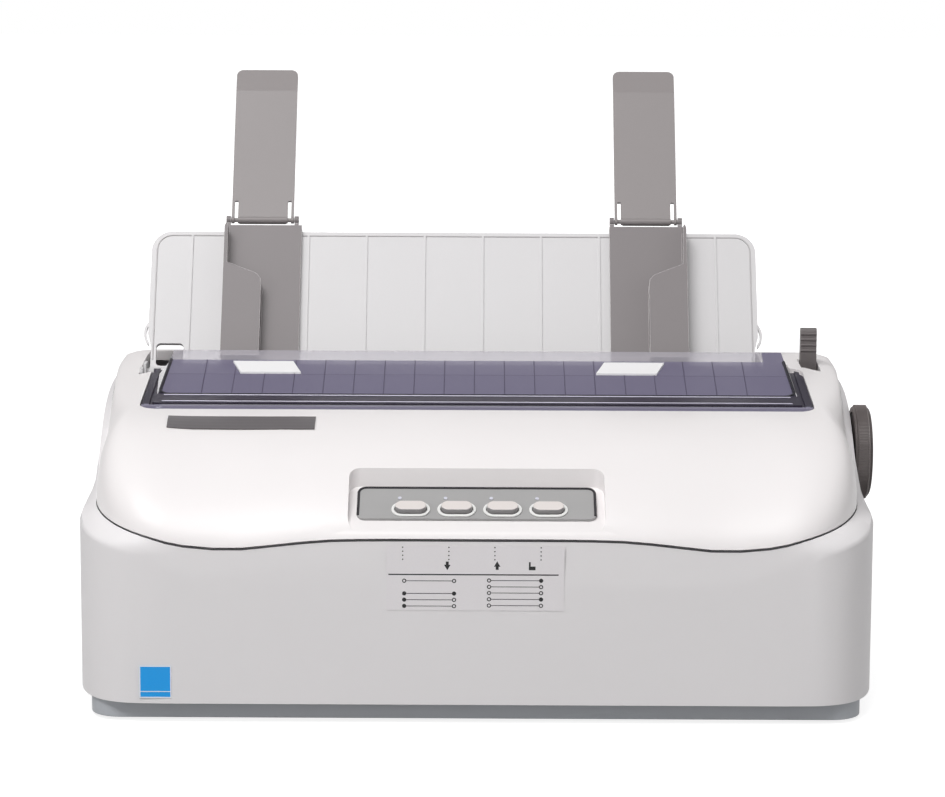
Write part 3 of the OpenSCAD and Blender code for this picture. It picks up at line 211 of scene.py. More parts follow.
# colour, roughness, depth and size of the grain in millimetres, strength of the clouds and of the dust
mouldings = {
    "coverPlastic": ((243, 239, 239), 0.42, 0.012, 0.8, 0.012),
    "casePlastic": ((236, 233, 234), 0.5, 0.02, 0.8, 0.012),
    "plinthPlastic": ((182, 185, 190), 0.55, 0.03, 0.9, 0.03),
    "guidePlastic": ((215, 213, 214), 0.45, 0.012, 0.8, 0.012),
    "guideLine": ((192, 189, 190), 0.5, 0.01, 0.8, 0.01),
    "edgePlastic": ((131, 125, 126), 0.5, 0.02, 0.8, 0.02),
    # painted highlight on the rounded edges of the edge guides
    "edgeHighlight": ((252, 248, 248), 0.3, 0.01, 0.8, 0.02),
    "flapPlastic": ((145, 139, 139), 0.48, 0.02, 0.8, 0.02),
    "hingeShade": ((74, 69, 69), 0.6, 0.01, 0.8, 0.02),
    "framePaint": ((222, 221, 222), 0.4, 0.01, 1.2, 0.02),
    "knobPlastic": ((132, 125, 124), 0.45, 0.02, 0.7, 0.03),
    "leverGrip": ((108, 102, 102), 0.45, 0.02, 0.7, 0.03),
    "buttonCap": ((228, 221, 218), 0.4, 0.01, 0.6, 0.02),
    # painted shade on the flanks of the buttons
    "buttonSkirt": ((150, 147, 148), 0.45, 0.01, 0.6, 0.02),
    "bezelPlastic": ((238, 238, 236), 0.4, 0.01, 0.6, 0.02),
    "panelPlastic": ((169, 168, 168), 0.45, 0.03, 0.6, 0.05),
    # painted shade: a near-black finish for beads laid in gaps
    "paintedGapShade": ((46, 44, 48), 0.6, 0.01, 0.6, 0.03),
    "tabPlastic": ((246, 245, 246), 0.45, 0.01, 0.8, 0.01),
    "blackPlastic": ((38, 38, 40), 0.45, 0.03, 0.8, 0.05, 0.05),
    "gearPlastic": ((226, 220, 200), 0.4, 0.01, 0.7, 0.03),
    "leverPlastic": ((86, 124, 160), 0.45, 0.02, 0.8, 0.03),
    "motorPaint": ((58, 58, 62), 0.4, 0.02, 1.2, 0.05),
    "rampPlastic": ((196, 194, 200), 0.5, 0.02, 0.8, 0.02),
    # painted shade: near-black lines along the hood's foot and in the lid's front groove
    "smokedEdge": ((26, 24, 36), 0.3, 0.004, 0.8, 0.05),
    "smokedRib": ((84, 78, 102), 0.5, 0.004, 0.8, 0.05),
    # painted highlight: pale lines across the lid's front border
    "borderHighlight": ((196, 193, 210), 0.35, 0.004, 0.8, 0.05),
    # painted reflection: a near-white strip beside the hood
    "sideReflection": ((254, 252, 254), 0.3, 0.004, 0.8, 0.01),
}
finishes = {name: mouldedPlastic(name, *values) for name, values in mouldings.items()}

scuffed = {"scuffs": 0.2, "along": (0.2, 1, 1), "fine": 2.2, "dark": 0.8, "pale": 1.5, "sway": 0.2, "depth": 0.02}


def rubber(name, colour, rough):
    k = scuffed
    f = Finish(name)
    scuff = f.noise(k["scuffs"], 4, 0.7, k["along"])
    fine = f.noise(k["fine"], 2, 0.6)
    f.set(Base_Color=f.mix(scuff.capped(), shade(linear(colour), k["dark"]), shade(linear(colour), k["pale"])),
          Roughness=scuff.sway(k["sway"]) + rough, Normal=f.bump(fine, k["depth"]))
    return f.material


rolled = {"lines": 1.6, "from": 0.3, "dark": 0.86, "pale": 1.08, "cells": 0.11, "cellTone": 0.7,
          "sway": 0.2, "depth": 0.006}


def sheetMetal(name, colour, rough, stretch, spangle=0.0):
    # drawn or rolled metal: long fine lines one way, with a zinc spangle where it is plated
    k = rolled
    f = Finish(name)
    lines = f.noise(k["lines"], 3, 0.7, stretch)
    tone = f.mix(lines.above(k["from"]), shade(linear(colour), k["dark"]), shade(linear(colour), k["pale"]))
    if spangle:
        cells = f.node("ShaderNodeTexVoronoi", {"feature": "F1"}, Vector=f.where(), Scale=k["cells"], out="Color")
        grey = f.node("ShaderNodeSeparateColor", {}, cells)
        tone = f.mix(grey * spangle, tone, shade(linear(colour), k["cellTone"]))
    f.set(Base_Color=tone, Metallic=1.0, Roughness=lines.sway(k["sway"]) + rough, Normal=f.bump(lines, k["depth"]))
    return f.material


finishes["footRubber"] = rubber("footRubber", (36, 36, 37), 0.75)
finishes["platenRubber"] = rubber("platenRubber", (30, 30, 32), 0.6)
finishes["zincSheet"] = sheetMetal("zincSheet", (196, 200, 204), 0.38, (1, 0.15, 0.15), 0.35)
finishes["groundSteel"] = sheetMetal("groundSteel", (214, 216, 220), 0.2, (0.1, 1, 1))
finishes["turnedBrass"] = sheetMetal("turnedBrass", (214, 180, 108), 0.3, (4, 0.3, 0.3))

smoked = {
    # where the lip, the hood and the front edge are
    "lipFrom": 176.5, "lipLeft": -171.5, "lipRight": 160, "hoodFrom": 130.6, "hoodHalf": 172.5, "edgeTo": 112.5,
    # each zone's colour seen face on and edge on
    "window": ((136, 131, 156), (92, 87, 112)), "border": ((62, 56, 72), (40, 36, 54)),
    # edge is a painted highlight along the lid's rounded front edge
    "edge": ((160, 156, 176), (120, 116, 140)), "lip": (206, 202, 212),
    "blend": 0.3, "haze": 0.03, "sway": 0.05, "rough": 0.33, "refraction": 1.4,
    "cover": 0.74, "coverEdgeOn": 0.2, "lipCover": 0.34,
}


def smokedPlastic():
    # tinted clear plastic: deeper where it is seen edge on, clearer along the hood's rear lip, with a painted
    # highlight along the rounded front edge
    k = smoked
    f = Finish("smokedPlastic")
    x, y, z = f.axes()
    facing = f.node("ShaderNodeLayerWeight", {}, out="Facing", Blend=k["blend"])
    haze = f.noise(k["haze"], 3, 0.6)
    lip = (y > k["lipFrom"]) * (x > k["lipLeft"]) * (x < k["lipRight"])
    hood = (y > k["hoodFrom"]) * (abs(x) < k["hoodHalf"])
    window, border, edge = (f.mix(facing, *map(linear, k[zone])) for zone in ("window", "border", "edge"))
    tint = f.mix(hood, f.mix(y < k["edgeTo"], border, edge), window)
    f.set(Base_Color=f.mix(lip, tint, linear(k["lip"])), Roughness=haze.sway(k["sway"]) + k["rough"],
          Alpha=(facing * k["coverEdgeOn"] + k["cover"]).capped() * (1 - lip) + lip * k["lipCover"])
    f.shader.inputs["IOR"].default_value = k["refraction"]
    return f.material


film = {"fibre": 1.2, "from": 0.3, "dark": 0.96, "pale": 1.02, "sway": 0.1, "depth": 0.004}


def printedFilm(name, colour, rough=0.35):
    k = film
    f = Finish(name)
    fibre = f.noise(k["fibre"], 3, 0.7)
    tone = f.mix(fibre.above(k["from"]), shade(linear(colour), k["dark"]), shade(linear(colour), k["pale"]))
    f.set(Base_Color=tone, Roughness=fibre.sway(k["sway"]) + rough, Normal=f.bump(fibre, k["depth"]))
    return f.material


lampLook = {"glow": 0.8, "dark": (206, 206, 220), "pale": (226, 226, 236), "sway": 0.1, "rough": 0.15, "coat": 0.6}


def lampPlastic():
    k = lampLook
    f = Finish("lampPlastic")
    glow = f.noise(k["glow"], 2, 0.5)
    f.set(Base_Color=f.mix(glow, linear(k["dark"]), linear(k["pale"])), Roughness=glow * k["sway"] + k["rough"])
    f.shader.inputs["Coat Weight"].default_value = k["coat"]
    return f.material


board = {"cells": 0.12, "shift": 40, "snap": 5.0, "fold": 2.5, "middle": 1.2, "half": 0.3, "top": 17.5,
         "resist": (22, 84, 48), "run": (66, 126, 74), "rough": 0.4, "smoother": 0.12}


def circuitBoard():
    # green resist, paler where it lies over the copper runs
    k = board
    f = Finish("circuitBoard")
    x, y, z = f.axes()
    steps = x.sum("SNAP", f.noise(k["cells"], 0, 0.5) * k["shift"], k["snap"])
    runs = (abs(x.sum("PINGPONG", x + steps, k["fold"]) - k["middle"]) < k["half"]) * (z < k["top"])
    f.set(Base_Color=f.mix(runs, linear(k["resist"]), linear(k["run"])), Roughness=k["rough"] - runs * k["smoother"])
    return f.material


finishes["smokedPlastic"] = smokedPlastic()
finishes["legendFilm"] = printedFilm("legendFilm", (238, 234, 236))
finishes["legendInk"] = printedFilm("legendInk", (20, 20, 22), 0.5)
finishes["stickerBlue"] = printedFilm("stickerBlue", (0, 162, 244), 0.3)
finishes["stickerWhite"] = printedFilm("stickerWhite", (244, 247, 250), 0.3)
finishes["badgeFoil"] = printedFilm("badgeFoil", (104, 100, 102), 0.3)
finishes["lampPlastic"] = lampPlastic()
finishes["circuitBoard"] = circuitBoard()


def deselect():
    if bpy.context.object and bpy.context.object.mode != "OBJECT":
        bpy.ops.object.mode_set(mode="OBJECT")
    bpy.ops.object.select_all(action="DESELECT")


def pick(piece):
    deselect()
    piece.select_set(True)
    bpy.context.view_layer.objects.active = piece


def copyNode(node, name):
    # the CAD node's own surface, merged, ready to be finished
    pick(frame["nodes"][node])
    bpy.ops.object.duplicate()
    piece = bpy.context.object
    piece.name = piece.data.name = name
    bpy.ops.object.mode_set(mode="EDIT")
    bpy.ops.mesh.select_all(action="SELECT")
    bpy.ops.mesh.remove_doubles(threshold=weld)
    bpy.ops.object.mode_set(mode="OBJECT")
    return piece


def flatten(piece):
    # joins the triangles of each flat face
    pick(piece)
    bpy.ops.object.mode_set(mode="EDIT")
    bpy.ops.mesh.select_all(action="SELECT")
    bpy.ops.mesh.dissolve_limited(angle_limit=math.radians(1))
    bpy.ops.object.mode_set(mode="OBJECT")


def roundEdges(piece, width, segments, angle, rim):
    # rim is the slot that the rounding takes, or -1 for that of the face beside it
    pick(piece)
    bevel = piece.modifiers.new("edges", "BEVEL")
    bevel.material = rim
    bevel.width = width * mm
    bevel.segments = segments
    bevel.limit_method = "ANGLE"
    bevel.angle_limit = math.radians(angle)
    bevel.harden_normals = False
    bpy.ops.object.modifier_apply(modifier=bevel.name)


def smooth(piece, angle):
    pick(piece)
    bpy.ops.object.shade_smooth_by_angle(angle=math.radians(angle))
    even = piece.modifiers.new("even", "WEIGHTED_NORMAL")
    even.keep_sharp = True
    even.weight = 80
    bpy.ops.object.modifier_apply(modifier=even.name)


def dress(piece, *names):
    piece.data.materials.clear()
    for name in names:
        piece.data.materials.append(finishes[name])


def rideWith(piece, node):
    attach(piece, bodyOf[node])


def standFor(piece, node):
    # the piece takes the place of a CAD node and moves with its body
    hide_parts(node)
    rideWith(piece, node)


def camel(node):
    first, *rest = node.split("_")
    return first + "".join(word.title() for word in rest)


def moulded(node, finish, width, angle=35, segments=2, rim=None):
    # a CAD node with its edges rounded as a mould leaves them; rim names a finish for the rounding itself
    piece = copyNode(node, camel(node))
    dress(piece, *([finish, rim] if rim else [finish]))
    flatten(piece)
    roundEdges(piece, width, segments, angle, 1 if rim else -1)
    smooth(piece, angle)
    standFor(piece, node)
    return piece


def bead(name, points, radius, finish, node=None, closed=False):
    # a round bead along points; it rides with a node's body, unless it is to be joined to others first
    curve = bpy.data.curves.new(name, "CURVE")
    curve.dimensions = "3D"
    curve.bevel_depth = radius * mm
    curve.bevel_resolution = 1
    curve.use_fill_caps = not closed
    line = curve.splines.new("POLY")
    line.points.add(len(points) - 1)
    for point, at in zip(line.points, points):
        point.co = (*at, 1)
    line.use_cyclic_u = closed
    piece = bpy.data.objects.new(name, curve)
    bpy.context.collection.objects.link(piece)
    pick(piece)
    bpy.ops.object.convert(target="MESH")
    piece = bpy.context.object
    bpy.ops.object.mode_set(mode="EDIT")
    bpy.ops.mesh.select_all(action="SELECT")
    bpy.ops.mesh.remove_doubles(threshold=weld)
    bpy.ops.mesh.normals_make_consistent(inside=False)
    bpy.ops.object.mode_set(mode="OBJECT")
    smooth(piece, angle=50)
    dress(piece, finish)
    if node:
        rideWith(piece, node)
    return piece


def quarter(steps):
    # the angles of a quarter turn
    return [math.radians(90 * i / steps) for i in range(steps + 1)]


def bothSides(half):
    # one side's points from its open end to the middle, then the other side's back again
    return half(-1) + half(1)[::-1]


def onSlope(k, x, u, n):
    # u runs up a sloping face and n stands out of it
    sin, cos = math.sin(math.radians(k["slope"])), math.cos(math.radians(k["slope"]))
    return place(x, k["y"] + u * cos - n * sin, k["z"] + u * sin + n * cos)


def join(name, pieces):
    pick(pieces[0])
    for piece in pieces[1:]:
        piece.select_set(True)
    bpy.ops.object.join()
    joined = bpy.context.object
    joined.name = name
    return joined


print("casing")
moulded("lower_case", "casePlastic", 0.5, 40)
moulded("upper_cover", "coverPlastic", 0.5, 40)
moulded("base_tray", "plinthPlastic", 0.5)
# the cover's outline: q runs 0 to 1 along the front, to 2 round the corner, to 3 along the side,
# to 4 round the rear corner and to 5 along the back to the middle
seam = {
    "half": 208.5, "flat": 150, "front": 1, "cornerEnd": 75, "bulge": 2.6, "shoulder": 8,
    "rearRound": 18.4, "rearStart": 265, "stations": (10, 14, 14, 5, 5),
    "height": 97.3, "rise": 49.7, "gap": 0.6, "thick": 0.46, "inward": 0.12,
    "shoulderLine": ((2, 1), (2.35, 0.95), (2.6, 0.6), (2.85, 0.25), (5, 0.2)),
    "heightLine": ((0, 0), (0.46, -0.006), (0.61, -0.038), (0.83, -0.106), (1, -0.076), (1.12, -0.016),
                   (1.36, 0.068), (1.7, 0.16), (2, 0.21), (2.14, 0.34), (2.25, 0.64), (2.38, 0.93),
                   (2.55, 1.02), (2.8, 1.0), (3.2, 0.86), (5, 0.82)),
}


def grade(k, i):
    return 0 if i in (0, len(k) - 1) else (k[i + 1][1] - k[i - 1][1]) / (k[i + 1][0] - k[i - 1][0])


def track(k, s):
    # the value at s on the smooth curve through the stations in k
    s = min(max(s, k[0][0]), k[-1][0])
    i = max([j for j in range(len(k) - 1) if k[j][0] < s], default=0)
    w = k[i + 1][0] - k[i][0]
    t = (s - k[i][0]) / w
    return (k[i][1] * (2 * t ** 3 - 3 * t ** 2 + 1) + grade(k, i) * w * (t ** 3 - 2 * t ** 2 + t)
            + k[i + 1][1] * (3 * t ** 2 - 2 * t ** 3) + grade(k, i + 1) * w * (t ** 3 - t ** 2))


def coverOutline(q):
    k = seam
    half = k["half"] - k["shoulder"] * track(k["shoulderLine"], q) - k["inward"]
    front = k["front"] + k["inward"]
    r = k["rearRound"] - k["inward"]
    turn = math.radians(90 * (q % 1))
    if q < 1:
        return k["flat"] * q, front
    if q < 2:
        return (k["flat"] + (half - k["flat"]) * math.sin(turn) ** (2 / k["bulge"]),
                front + (k["cornerEnd"] - front) * (1 - math.cos(turn) ** (2 / k["bulge"])))
    if q < 3:
        return half, k["cornerEnd"] + (k["rearStart"] - k["cornerEnd"]) * (q - 2)
    if q < 4:
        return half - r * (1 - math.cos(turn)), k["rearStart"] + r * math.sin(turn)
    return (half - r) * (5 - q), k["rearStart"] + r


def seamShade():
    # painted shade: a dark bead in the gap between the case and the cover
    k = seam
    stations = [part + i / steps for part, steps in enumerate(k["stations"]) for i in range(steps)] + [5]
    floor = k["height"] - k["gap"] / 2
    right = [(*coverOutline(q), floor + k["rise"] * track(k["heightLine"], q)) for q in stations]
    left = [(-x, y, z) for x, y, z in right[-2:0:-1]]
    points = [place(*at) for at in right + left]
    bead("seamShade", points, k["thick"], "paintedGapShade", "upper_cover", closed=True)


seamShade()
moulded("button_bezels", "bezelPlastic", 0.35, 50)
moulded("control_panel", "panelPlastic", 0.3)
# groove is the radius of the painted shade bead round the plate
panel = {"slope": 28, "y": 6, "z": 103.7, "half": 61.0, "low": 6.5, "high": 28.7, "corner": 4,
         "proud": 1.6, "groove": 0.7}


def paintedGapShade():
    # painted shade: a dark bead in the gap that runs round the plate's sides and back
    k = panel
    r = k["corner"]

    def half(side):
        corner = [(side * (k["half"] - r + r * math.cos(a)), k["high"] - r + r * math.sin(a)) for a in quarter(6)]
        return [(side * k["half"], k["low"])] + corner

    points = [onSlope(k, x, u, k["proud"]) for x, u in bothSides(half)]
    bead("paintedGapShade", points, k["groove"], "paintedGapShade", "control_panel")


paintedGapShade()
flankTilt = 0.45   # the faces of a button that look up less than this are its flanks
for number in (1, 2, 3, 4):
    button = moulded(f"button_{number}", "buttonCap", 0.7, 50, 3)
    button.data.materials.append(finishes["buttonSkirt"])
    # faces that look up less than flankTilt take the darker finish as painted shade
    for face in button.data.polygons:
        if face.normal.z < flankTilt:
            face.material_index = 1

print("paper guides")
moulded("sheet_guide", "guidePlastic", 0.3)
guide = {"x": -14, "y": 208, "z": 150, "slope": 58, "wide": 349, "long": 89, "corner": 12, "margin": 3.2,
         "rimStart": 8, "rimUp": 0.8, "rimOut": 0.05, "rimThick": 0.42,
         "hingeUp": 93.4, "hingeOut": 2.2, "hingeHalf": 13.5, "hingeThick": 0.5}


def guideRim():
    # the fine step that runs round the guide inside its edge
    k = guide
    wide = k["wide"] / 2 - k["margin"]
    top = k["long"] - k["margin"] + k["rimUp"]
    r = k["corner"] - k["margin"]

    def half(side):
        corner = [(k["x"] + side * (wide - r + r * math.cos(a)), top - r + r * math.sin(a)) for a in quarter(8)]
        return [(k["x"] + side * wide, k["rimStart"])] + corner

    points = [onSlope(k, x, u, k["rimOut"]) for x, u in bothSides(half)]
    bead("guideRim", points, k["rimThick"], "guideLine", "sheet_guide")


guideRim()
for side in ("left", "right"):
    # the edge guides' roundings take a near-white finish as a painted highlight
    moulded(f"{side}_edge_guide", "edgePlastic", 0.6, 35, 2, "edgeHighlight")
    moulded(f"{side}_flap", "flapPlastic", 0.4)
    corners = frame["nodes"][f"{side}_flap"].data.vertices
    middle = sum(v.co.x for v in corners) / len(corners) / mm + shift.x
    ends = [onSlope(guide, middle + way * guide["hingeHalf"], guide["hingeUp"], guide["hingeOut"]) for way in (-1, 1)]
    bead(f"{side}FlapShade", ends, guide["hingeThick"], "hingeShade", f"{side}_flap")
moulded("release_lever", "leverGrip", 0.3)

print("knob")
knob = {
    "across": 52, "thick": 9.5, "neck": 44, "ridges": 90, "band": (1.15, 7.25), "ridgeEdge": 0.12, "deep": 0.5,
    # how far out each ring is, and how far inside the rim
    "rings": ((0, 1.3), (0.6, 1.2), (1.2, 0.05), (7.2, 0.05), (7.7, 0.5)),
    "fillet": 3.4, "dish": ((9.1, 6.5), (8.1, 8.5)), "sharpFrom": 28,
}


def platenKnob():
    # fine ridges next to the case, then a smooth rounded band and a dished end
    k = knob
    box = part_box("platen_knob")
    middle = Vector(((box[0][0] + box[1][0]) / 2, (box[0][1] + box[1][1]) / 2, (box[0][2] + box[1][2]) / 2))
    x0 = box[1][0] - k["thick"] * mm
    rim = k["across"] / 2
    r = k["fillet"]
    rings = [(0, k["neck"] / 2)] + [(out, rim - inside) for out, inside in k["rings"]]
    shoulder = rings[-1][1] - r
    rings += [(k["thick"] - r + r * math.sin(a), shoulder + r * math.cos(a)) for a in quarter(6)[1:]]
    rings += [(out, rim - inside) for out, inside in k["dish"]]
    deselect()
    bpy.ops.mesh.primitive_circle_add(vertices=k["ridges"] * 2, radius=k["neck"] / 2 * mm, fill_type="NGON",
                                      location=(x0, middle.y, middle.z), rotation=(0, math.pi / 2, 0))
    piece = bpy.context.object
    piece.name = piece.data.name = "platenKnob"
    bpy.ops.object.transform_apply(location=True, rotation=True, scale=True)
    bpy.ops.object.mode_set(mode="EDIT")
    bpy.ops.mesh.select_all(action="SELECT")
    before = rings[0]
    for ring in rings[1:]:
        bpy.ops.mesh.extrude_region_move(TRANSFORM_OT_translate={"value": ((ring[0] - before[0]) * mm, 0, 0)})
        bpy.ops.transform.resize(value=(1, ring[1] / before[1], ring[1] / before[1]),
                                 center_override=(x0 + ring[0] * mm, middle.y, middle.z))
        before = ring
    bpy.ops.mesh.select_all(action="SELECT")
    bpy.ops.mesh.normals_make_consistent(inside=False)
    bpy.ops.object.mode_set(mode="OBJECT")
    # every second face of the ridged band is pushed in
    for face in piece.data.polygons:
        at = face.center
        turn = math.atan2(at.z - middle.z, at.y - middle.y) / math.tau * k["ridges"] * 2
        inBand = x0 + k["band"][0] * mm < at.x < x0 + k["band"][1] * mm
        face.select = inBand and len(face.vertices) == 4 and abs(face.normal.x) < 0.2 and math.floor(turn) % 2 == 0
    bpy.ops.object.mode_set(mode="EDIT")
    bpy.ops.mesh.select_mode(type="FACE")
    bpy.ops.mesh.inset(thickness=k["ridgeEdge"] * mm, use_individual=True)
    bpy.ops.transform.shrink_fatten(value=-k["deep"] * mm)
    bpy.ops.object.mode_set(mode="OBJECT")
    smooth(piece, k["sharpFrom"])
    dress(piece, "knobPlastic")
    standFor(piece, "platen_knob")


platenKnob()

print("lid")
moulded("smoked_lid", "smokedPlastic", 0.4)
lid = {
    "front": 105, "slope": 6.5, "height": 147, "foot": 130, "crease": 157, "rear": 190, "creaseUp": 4.41, "rise": 9,
    "wide": 342, "draft": 13, "lip": 176.5, "corner": 6, "skin": 0.42, "ribs": 19, "ribPitch": 16.6, "firstRib": -151,
    "ribStart": 2, "ribThick": 0.24, "creaseHalf": 171, "creaseSunk": 0.1, "creaseThick": 0.16,
    "inset": 0.6, "outline": 0.95,
    # painted highlight and shade lines across the front border: name, how far back, height above the slope, radius
    # and finish
    "frontHighlightsAndShade": (("shelfRearHighlight", 128.6, 1.0, 0.45, "borderHighlight"),
                   ("shelfFrontHighlight", 116.4, 1.0, 0.4, "borderHighlight"),
                   ("grooveShade", 113.5, -0.3, 0.5, "smokedEdge")),
    "frontHalf": 171,
}


def slopeHeight(y):
    return lid["height"] + (y - lid["front"]) * math.tan(math.radians(lid["slope"]))


def hoodHeight(y):
    k = lid
    if y < k["crease"]:
        return slopeHeight(y) + k["creaseUp"] * (y - k["foot"]) / (k["crease"] - k["foot"])
    share = (y - k["crease"]) / (k["rear"] - k["crease"])
    return slopeHeight(y) + k["creaseUp"] + (k["rise"] - k["creaseUp"]) * share


def hoodEdge(y):
    return lid["wide"] / 2 + (hoodHeight(lid["rear"]) - hoodHeight(y)) * math.tan(math.radians(lid["draft"]))


def onHood(x, y, up=0):
    # on the hood's outer skin
    return place(x, y, hoodHeight(y) + lid["skin"] + up)


def lidLines():
    k = lid
    ribs = []
    for i in range(k["ribs"]):
        x = k["firstRib"] + i * k["ribPitch"]
        points = [onHood(x, y) for y in (k["foot"] + k["ribStart"], k["crease"], k["lip"])]
        ribs.append(bead("lidRib", points, k["ribThick"], "smokedRib"))
    points = [onHood(side * k["creaseHalf"], k["crease"], -k["creaseSunk"]) for side in (-1, 1)]
    ribs.append(bead("lidRib", points, k["creaseThick"], "smokedRib"))
    rideWith(join("lidRibs", ribs), "smoked_lid")
    foot = k["foot"] + k["inset"]
    r = k["corner"]

    def half(side):
        edge = hoodEdge(foot + r) - k["inset"]
        straight = [(side * (hoodEdge(y) - k["inset"]), y) for y in (k["lip"], k["crease"], foot + r)]
        return straight + [(side * (edge - r + r * math.cos(a)), foot + r - r * math.sin(a)) for a in quarter(6)[1:]]

    # painted shade: a dark line round the hood's foot and sides
    bead("lidOutline", [onHood(x, y) for x, y in bothSides(half)], k["outline"], "smokedEdge", "smoked_lid")
    for name, y, up, radius, finish in k["frontHighlightsAndShade"]:
        ends = [place(side * k["frontHalf"], y, slopeHeight(y) + up) for side in (-1, 1)]
        bead(name, ends, radius, finish, "smoked_lid")


lidLines()
hoodSide = {"from": 132, "to": 172, "steps": 8, "spread": {-1: 0.8, 1: 0.4}, "thick": 0.3, "lift": 0.5, "clear": 0.3}


def hoodSideReflection(side):
    # painted reflection: a pale strip between the hood's edge and the lid's border
    k = hoodSide
    deselect()
    bpy.ops.mesh.primitive_grid_add(x_subdivisions=k["steps"], y_subdivisions=1, size=mm)
    piece = bpy.context.object
    piece.name = piece.data.name = "leftHoodReflection" if side < 0 else "rightHoodReflection"
    for v in piece.data.vertices:
        y = k["from"] + (k["to"] - k["from"]) * (v.co.x / mm + 0.5)
        rise = hoodHeight(y) - slopeHeight(y)
        out = v.co.y > 0
        v.co = place(side * (hoodEdge(y) + k["clear"] + (rise * k["spread"][side] if out else 0)), y,
                     (slopeHeight(y) if out else hoodHeight(y)) + k["lift"])
    bpy.ops.object.mode_set(mode="EDIT")
    bpy.ops.mesh.select_all(action="SELECT")
    bpy.ops.mesh.normals_make_consistent(inside=False)
    bpy.ops.object.mode_set(mode="OBJECT")
    if piece.data.polygons[0].normal.z < 0:
        piece.data.flip_normals()
    wall = piece.modifiers.new("wall", "SOLIDIFY")
    wall.thickness = k["thick"] * mm
    wall.offset = -1
    bpy.ops.object.modifier_apply(modifier=wall.name)
    dress(piece, "sideReflection")
    rideWith(piece, "lid_tabs")


hoodSideReflection(-1)
hoodSideReflection(1)

print("labels")
legend = {
    "film": 0.12, "face": -0.17, "ink": 0.035, "leaderDot": 0.72, "rule": 0.34, "ring": 2.2, "ringWall": 0.5,
    "leaders": (-37.7, -14.1, 9.4, 33.0), "leaderTop": 93.8, "leaderStep": 2.1, "leaderDots": 4,
    "arrows": ((-14.9, 84.3, -1), (10.6, 84.3, 1)), "arrowHead": 1.9, "arrowStem": 0.75,
    "arrowUp": 0.5, "stemFrom": 0.2, "stemTo": 2.1,
    # bars as x0, x1, z0, z1: a plain key mark and the line across
    "bars": ((26.8, 30.2, 82.1, 84.0), (26.8, 27.7, 84.02, 86.3), (-45, 42, 79.28, 79.92)),
    # x of both ends, height, and whether each end is filled
    "rows": ((-36.9, -11.4, 76.3, 0, 0), (-36.9, -11.4, 69.7, 1, 1), (-36.9, -11.4, 66.4, 1, 0),
             (-36.9, -11.4, 63.1, 1, 0), (6.5, 33.1, 76.6, 0, 1), (6.5, 33.1, 73.3, 0, 0),
             (6.5, 33.1, 70.1, 0, 0), (6.5, 33.1, 66.8, 0, 1), (6.5, 33.1, 63.5, 0, 0)),
}


def startPrint(name):
    # an empty sheet of ink, open in edit mode
    deselect()
    bpy.ops.mesh.primitive_plane_add(size=mm)
    sheet = bpy.context.object
    sheet.name = sheet.data.name = name
    sheet.location = (0, 0, 0)
    bpy.ops.object.mode_set(mode="EDIT")
    bpy.ops.mesh.select_all(action="SELECT")
    bpy.ops.mesh.delete(type="VERT")
    return sheet


def inkDot(x, z, across, face, hollow=0):
    bpy.ops.mesh.select_all(action="DESELECT")
    bpy.ops.mesh.primitive_circle_add(vertices=20, radius=across / 2 * mm, fill_type="NGON",
                                      location=place(x, face, z), rotation=(math.pi / 2, 0, 0))
    if hollow:
        bpy.ops.mesh.inset(thickness=hollow * mm)
        bpy.ops.mesh.delete(type="FACE")


def inkBar(x0, x1, z0, z1, face):
    bpy.ops.mesh.select_all(action="DESELECT")
    middle = place((x0 + x1) / 2, face, (z0 + z1) / 2)
    bpy.ops.mesh.primitive_plane_add(size=1, location=middle, rotation=(math.pi / 2, 0, 0))
    bpy.ops.transform.resize(value=(abs(x1 - x0) * mm, 1, abs(z1 - z0) * mm), center_override=middle)


def inkArrow(x, z, way, k):
    bpy.ops.mesh.select_all(action="DESELECT")
    bpy.ops.mesh.primitive_circle_add(vertices=3, radius=k["arrowHead"] * mm, fill_type="NGON",
                                      location=place(x, k["face"], z + way * k["arrowUp"]),
                                      rotation=(math.pi / 2, 0 if way > 0 else math.pi, 0))
    inkBar(x - k["arrowStem"], x + k["arrowStem"], z - way * k["stemFrom"], z - way * k["stemTo"], k["face"])


def finishPrint(sheet, depth, finish, slotNode):
    bpy.ops.mesh.select_all(action="SELECT")
    bpy.ops.mesh.extrude_region_move(TRANSFORM_OT_translate={"value": (0, -depth * mm, 0)})
    bpy.ops.mesh.select_all(action="SELECT")
    bpy.ops.mesh.normals_make_consistent(inside=False)
    bpy.ops.object.mode_set(mode="OBJECT")
    dress(sheet, finish)
    rideWith(sheet, slotNode)


def labelSheet(node, name, finish, thickness):
    # the label's film, thin enough to leave room for its ink
    piece = copyNode(node, name)
    back = max(v.co.y for v in piece.data.vertices)
    front = min(v.co.y for v in piece.data.vertices)
    pick(piece)
    bpy.ops.object.mode_set(mode="EDIT")
    bpy.ops.mesh.select_all(action="SELECT")
    bpy.ops.transform.resize(value=(1, thickness * mm / (back - front), 1), center_override=(0, back, 0))
    bpy.ops.object.mode_set(mode="OBJECT")
    dress(piece, finish)
    standFor(piece, node)


